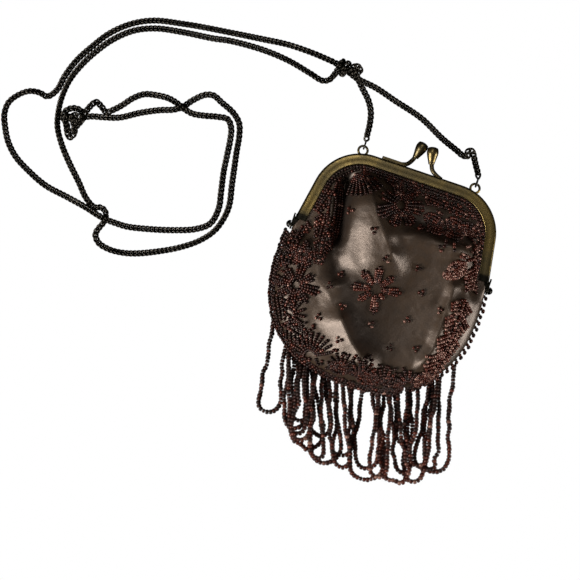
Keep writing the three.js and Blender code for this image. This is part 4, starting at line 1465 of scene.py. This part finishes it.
def rope_strings():
    """Stitches of a few beads that wrap the seam's edge at a slant, each a little out of line."""
    angles = np.linspace(ROPE_START, 3 * math.pi - ROPE_START, ROPE_STEPS)
    line = evenly(seam_point(angles, ROPE_OUT), ROPE_PITCH)
    along = unit(np.gradient(line, axis=0))
    outwards = np.column_stack([along[:, 1], -along[:, 0]])
    x, fade = STITCHES_APART["x"], STITCHES_APART["fade"]
    apart = ramp(line[:, 0], x - fade, x + fade)[:, None]
    line = line + outwards * (rng.normal(0, STITCH_SPREAD, (len(line), 1)) - apart)
    kept = (apart[:, 0] < 0.5) | (np.arange(len(line)) % 2 == 0)
    strings = []
    for bead in ROPE_STITCH:
        flat = line + outwards * bead["outwards"] + along * bead["ahead"]
        tilt = math.radians(bead["tilt"])
        thread = unit(at_height(math.cos(tilt) * outwards - STITCH_SLANT * along, -math.sin(tilt)))
        axes = axes_from(thread, NEARLY_UP)
        strings.append((at_height(flat, SEAM_Z + bead["upwards"])[kept], axes[kept]))
    return strings


bead_piece("bead_rope", rope_strings(), ROPE_BEAD, ROPE_TINT, ["bead_edge"])

# %% Fringe
LOWEST_LAYER = 1.15
LAYER_STEP = 2.2
HEAD_OUT = CLOTH / 2 + GAP + 0.9
HEAD_Z = 1.05
WAIST = {"aside": 0.4, "down": 0.45}
LIFT_SHARE = 0.8
LOOP_SPACING = 0.5
LOOP_COLUMNS = "start end belly drop lean layer"
FRINGE = table(
    LOOP_COLUMNS,
    (213.5, 232, 10.5, 42, 10.5, 0),
    (235.5, 245.5, 11, 37.5, 17.5, 1),
    (238.5, 251.5, 16, 45.5, 23, 0),
    (242, 250, 6, 31, 16, 0),
    (246, 259, 7, 45.5, 22, 2),
    (252.5, 265.5, 15, 45, 20.5, 1),
    (253, 259.5, 8, 33.5, 22, 0),
    (266, 272, 8, 37.5, 16.5, 0),
    (270.5, 287.5, 18, 45.5, 17.5, 1),
    (276.5, 281, 12, 40, 18, 0),
    (283, 295, 12, 46.5, 24.5, 2),
    (289, 301, 7.5, 41, 22, 1),
    (293, 302.5, 8, 25.5, 21, 0),
    (302, 314.5, 10, 47.5, 14.5, 0),
    (307, 321, 8, 42, 11, 2),
    (315.5, 322, 10, 45, 11.5, 1),
    (317, 333.5, 12, 49.5, 13, 0),
)
BUNCHED = table(
    LOOP_COLUMNS,
    (233, 248, 9, 40, 20, 3),
    (244, 255.5, 8, 38.5, 13, 3),
    (262, 268.5, 9, 44, 23, 2),
    (285, 291, 9, 43, 13, 3),
)


def fringe_loop(start, end, belly, drop, lean, layer):
    """The path of one loop: from the seam over a waist to the belly, with half a circle at the bottom."""
    middle = seam_point(math.radians((start + end) / 2), HEAD_OUT)
    tilt = math.radians(lean)
    height = LOWEST_LAYER + LAYER_STEP * layer
    bend = belly / 2
    across = np.array([math.cos(tilt), math.sin(tilt)])
    downwards = np.array([math.sin(tilt), -math.cos(tilt)])

    def place(aside, down):
        return np.array([*(middle + aside * across + down * downwards), height])

    def half(angle, side):
        top = np.array([*seam_point(math.radians(angle), HEAD_OUT), HEAD_Z])
        waist = place(side * WAIST["aside"] * belly, WAIST["down"] * drop)
        lifted = np.array([*(top + LIFT_SHARE * (waist - top))[:2], height])
        shoulder = place(side * bend * math.cos(math.pi / 4), drop - bend + bend * math.sin(math.pi / 4))
        return [top, lifted, waist, place(side * bend, drop - bend), shoulder]

    return curve_through([*half(start, -1), place(0, drop), *half(end, 1)[::-1]], LOOP_SPACING)


# %% Fringe beads
WANDER = {"reach": 0.45, "cell": 5.0, "strand": 40, "axis": 200}
STRAND_CLEAR = 2.1
CALM_POINTS = 20
WINDOW = np.hanning(11)
SMOOTHING = WINDOW[1:-1] / WINDOW.sum()
NOWHERE = -100
# The fringe gets only a few painted glints.
FRINGE_TINT = {"base": -0.14, "redder": 0.55, "from_y": -40, "over": 55, "glint_share": 0.01}


def calm_ends(path):
    """A share for each point of a path: 0 at its ends and 1 away from them."""
    number = np.arange(len(path))
    return np.minimum(1, np.minimum(number, number[::-1]) / CALM_POINTS)


def wavy(path, number):
    """A path that wanders a little sideways, less so at its ends."""
    run = np.arange(len(path)) * LOOP_SPACING
    starts = [WANDER["strand"] * number + WANDER["axis"] * k for k in (0, 1)]
    aside = np.column_stack([crumple(run, run * 0 + start, WANDER["cell"]) for start in starts])
    return path + at_height(WANDER["reach"] * calm_ends(path)[:, None] * aside, 0)


def laid_over(path, below):
    """A path lifted where it meets points of the strands that were laid down before it."""
    away = np.hypot(path[:, None, 0] - below[None, :, 0], path[:, None, 1] - below[None, :, 1])
    room = np.sqrt(np.clip(STRAND_CLEAR**2 - away**2, 0, None))
    rise = below[None, :, 2] + room - path[:, None, 2]
    lift = np.where((rise > 0) & (rise < 2 * room), rise, 0).max(axis=1) * calm_ends(path)
    smooth = np.maximum(lift, np.convolve(lift, SMOOTHING, "same"))
    return path + smooth[:, None] * UP


laid = np.full((1, 3), NOWHERE)
fringe_strings = []
for number, row in sorted(enumerate([*FRINGE, *BUNCHED]), key=lambda pair: pair[1]["layer"]):
    strand = laid_over(wavy(fringe_loop(**row), number), laid)
    laid = np.vstack([laid, strand])
    fringe_strings.append(strung(strand, FRINGE_BEAD["length"]))
fringe_y = gathered(fringe_strings)[0][:, 1]
fringe_down = np.clip((FRINGE_TINT["from_y"] - fringe_y) / FRINGE_TINT["over"], 0, 1)
fringe_base = FRINGE_TINT["base"] + FRINGE_TINT["redder"] * fringe_down
fringe_piece = bead_piece(
    "bead_fringe", fringe_strings, FRINGE_BEAD, fringe_base, ["fringe"], FRINGE_TINT["glint_share"]
)

# %% [markdown]
# ## The chain strap
# The strap is a curb chain: oval links of round wire, each with a twist, so that they lie flat and yet pass
# through each other. Bending a tube would never show the holes, so one link is modelled and copied at its
# pitch along the strap's route. The route lies as the frame's own tubes do, and winds up at the knots.
# A point without a height of its own lies on the floor.

# %% One link
LINK = {"half_length": 1.66, "half_width": 1.14, "wire": 0.56, "twist": math.radians(55), "squareness": 2.4}
LINK_PITCH = 2.1
LINK_STEPS = 18
LINK_SIDES = 7


def link_shape():
    """A twisted oval link along its own X."""
    turn = ring_angles(LINK_STEPS)
    along = LINK["half_length"] * powered(np.cos(turn), 2 / LINK["squareness"])
    across = LINK["half_width"] * powered(np.sin(turn), 2 / LINK["squareness"])
    twist = LINK["twist"] * along / LINK["half_length"]
    path = np.column_stack([along, across * np.cos(twist), across * np.sin(twist)])
    return closed_wire(path, LINK["wire"], LINK_SIDES)


def chain_links(path, rolls):
    """Places and axes of links along a path. The rolls say how far it leans over, in radians."""
    places, axes = strung(path, LINK_PITCH)
    roll = np.interp(np.arange(len(places)), np.linspace(0, len(places) - 1, len(rolls)), rolls)[:, None]
    leaned = np.cos(roll) * axes[:, 1] + np.sin(roll) * axes[:, 2]
    return places, np.stack([axes[:, 0], leaned, np.cross(axes[:, 0], leaned)], axis=1)


# %% Routes
ON_FLOOR = 1.55
OVER = 4.4
LEFT_END = [(-29.6, 66, 2.6), (-30, 68.5, 2.2), (-30.5, 74), (-32, 80), (-35, 85), (-40, 90)]
RIGHT_END = [
    (29.4, 66, 2.6), (28.4, 68.2, 2.2), (26.3, 71.4), (24.2, 74.8), (22.3, 77.4, 2.2), (20.4, 76.8, 3.2),
    (20.9, 74.6, 3.6), (18.6, 74, 2.2), (15.5, 75.2), (6, 78.8), (-7, 85), (-22, 89), (-33, 92),
]
OUTER_STRAND = [
    (-57, 97.5, 2.6), (-69, 98.5), (-82, 98.5), (-95, 97), (-111, 95), (-126, 93), (-135, 91.5), (-149, 88.5),
    (-159, 83.5), (-168, 75.5), (-174.5, 66), (-179.5, 57), (-182.5, 48), (-184, 40), (-187.5, 35.5),
    (-192, 36), (-197, 35), (-202, 31), (-205, 26), (-205, 20), (-203, 15), (-199, 8), (-193, 2), (-184, -3),
    (-174, -7), (-162, -9), (-151, -11), (-145, -12.5, 2.6), (-139.8, -13.4, OVER), (-134, -13.6, 2.6),
    (-129, -13.4), (-118, -11), (-106, -7.5), (-96, -3.5), (-90, 1.5), (-88.5, 10), (-90, 18), (-92, 28),
    (-93, 36), (-94, 44), (-95.5, 50), (-98.5, 53.5), (-104, 53), (-110, 51.5), (-116, 50.5, 2.6),
    (-120.5, 51.3, OVER), (-125, 53, 3), (-130, 54), (-136, 53.5), (-142, 52), (-147, 48), (-150.5, 43.5),
    (-153.8, 40), (-157.2, 37.5), (-160.4, 39.4), (-163.5, 40.6), (-165.8, 37.2, 2.2), (-167.5, 33, 3),
]
INNER_STRAND = [
    (-55.3, 91.2, 2.4), (-57, 88.3), (-60, 87), (-67, 88.5), (-79, 91), (-93, 92), (-110, 91), (-118, 89.5),
    (-134, 87.5), (-147, 85), (-157, 80.5), (-165.5, 73), (-172, 64), (-176.5, 55.5), (-179.5, 47),
    (-180.5, 38), (-180, 31), (-178, 23), (-173, 15), (-166, 7), (-159, 0), (-153, -6.4), (-147.6, -9.4),
    (-144.2, -8.6, 2.4), (-141.6, -9.8, 2.4), (-140.4, -14), (-142, -18.4), (-142.7, -22), (-140, -25.5),
    (-134, -27), (-127, -26.5), (-120, -24.5), (-111, -20.5), (-101, -15), (-92.5, -8.5), (-87, -1.5),
    (-84.5, 6), (-84, 13), (-86, 23), (-87.5, 31), (-89, 39), (-90.5, 48), (-92.5, 53.5), (-97, 57.5),
    (-104, 60.5), (-109, 62.5), (-113, 61.5), (-118, 57), (-121.5, 52.5), (-125.5, 49.5), (-132, 47),
    (-141, 42.5), (-150, 37), (-158, 34.5), (-163.5, 33, 2.2), (-167, 31, 3),
]

# %% Knots
NEAR_KNOT_WRAP = [
    (-44.5, 94.6, 3.4), (-47.6, 97.6, 4.8), (-45.6, 99.2, 3.6), (-43.6, 97.6, 2.2), (-46.4, 95.4, 1.4),
    (-49.4, 97.4, 2.2), (-50.4, 99.0, 4.0), (-51.0, 96.4, 5.8), (-51.4, 93.4, 4.2), (-52.2, 93.8, 1.6),
    (-53.0, 97.0, 1.6), (-53.4, 99.2, 3.8), (-54.0, 96.6, 5.6), (-54.6, 93.6, 4.0), (-55.3, 91.2, 2.4),
]
NEAR_KNOT_CORE = [(-44, 93.5, 3), (-49, 95.2, 3.4), (-53, 96.4, 3.4), (-57, 97.5, 2.6)]
END_KNOT_TURNS = [
    (-169.5, 34.2, 2.4), (-173.5, 34.0, 2.0), (-176.6, 31.2, 2.0), (-176.4, 27.6, 2.2), (-173.8, 25.4, 1.8),
    (-172.6, 22.0, 1.6), (-170.4, 19.8, 1.8), (-168.9, 22.0, 2.4), (-169.8, 25.6, 4.0), (-172.6, 28.8, 4.6),
    (-174.9, 29.4, 4.2), (-174.4, 26.0, 4.4), (-172.2, 22.8, 4.2), (-170.3, 22.6, 4.4), (-168.6, 26.4, 4.2),
    (-167.4, 30.2, 4.2), (-169.9, 31, 5.0), (-172.2, 30.6, 5.2), (-171.6, 28.6, 5.6), (-168.4, 28.0, 3.6),
]
LOWEST_Z = 1.2
SETTLE_SHARE = 0.75
ROUTE_SPACING = 0.4
POINTS_TO_A_ROLL = 60
NEAR_LEANING = 0.25
FAR_LEANING = 0.35


def settled(points):
    """A route let down until its flat links lie on the floor: the frame's tubes are thicker than a chain."""
    route = np.array([point if len(point) == 3 else (*point, ON_FLOOR) for point in points], float)
    route[:, 2] = np.maximum(LOWEST_Z + SETTLE_SHARE * (route[:, 2] - ON_FLOOR), LOWEST_Z)
    return curve_through(route, ROUTE_SPACING)


def chain_piece(name, routes, node, leaning):
    """The links of one or more routes as one piece."""
    strings = []
    for route in routes:
        rolls = leaning * rng.standard_normal(max(4, len(route) // POINTS_TO_A_ROLL))
        strings.append(chain_links(route, rolls))
    places, axes = gathered(strings)
    make_piece(name, copies(link_shape(), places, axes), chain_bronze, [node])
    print(name, len(places), "links")


near_routes = [settled([*LEFT_END, *NEAR_KNOT_WRAP]), settled([*RIGHT_END, *NEAR_KNOT_CORE])]
far_routes = [settled([*OUTER_STRAND, *END_KNOT_TURNS, *INNER_STRAND[::-1]])]
chain_piece("chain_near_links", near_routes, "chain_near", NEAR_LEANING)
chain_piece("chain_far_links", far_routes, "chain_far", FAR_LEANING)

# %% [markdown]
# ## The frame's size
# Last, the frame's box is printed.

# %% Finish
print("cad", [round(v, 4) for v in (*cad_low, *cad_high)])
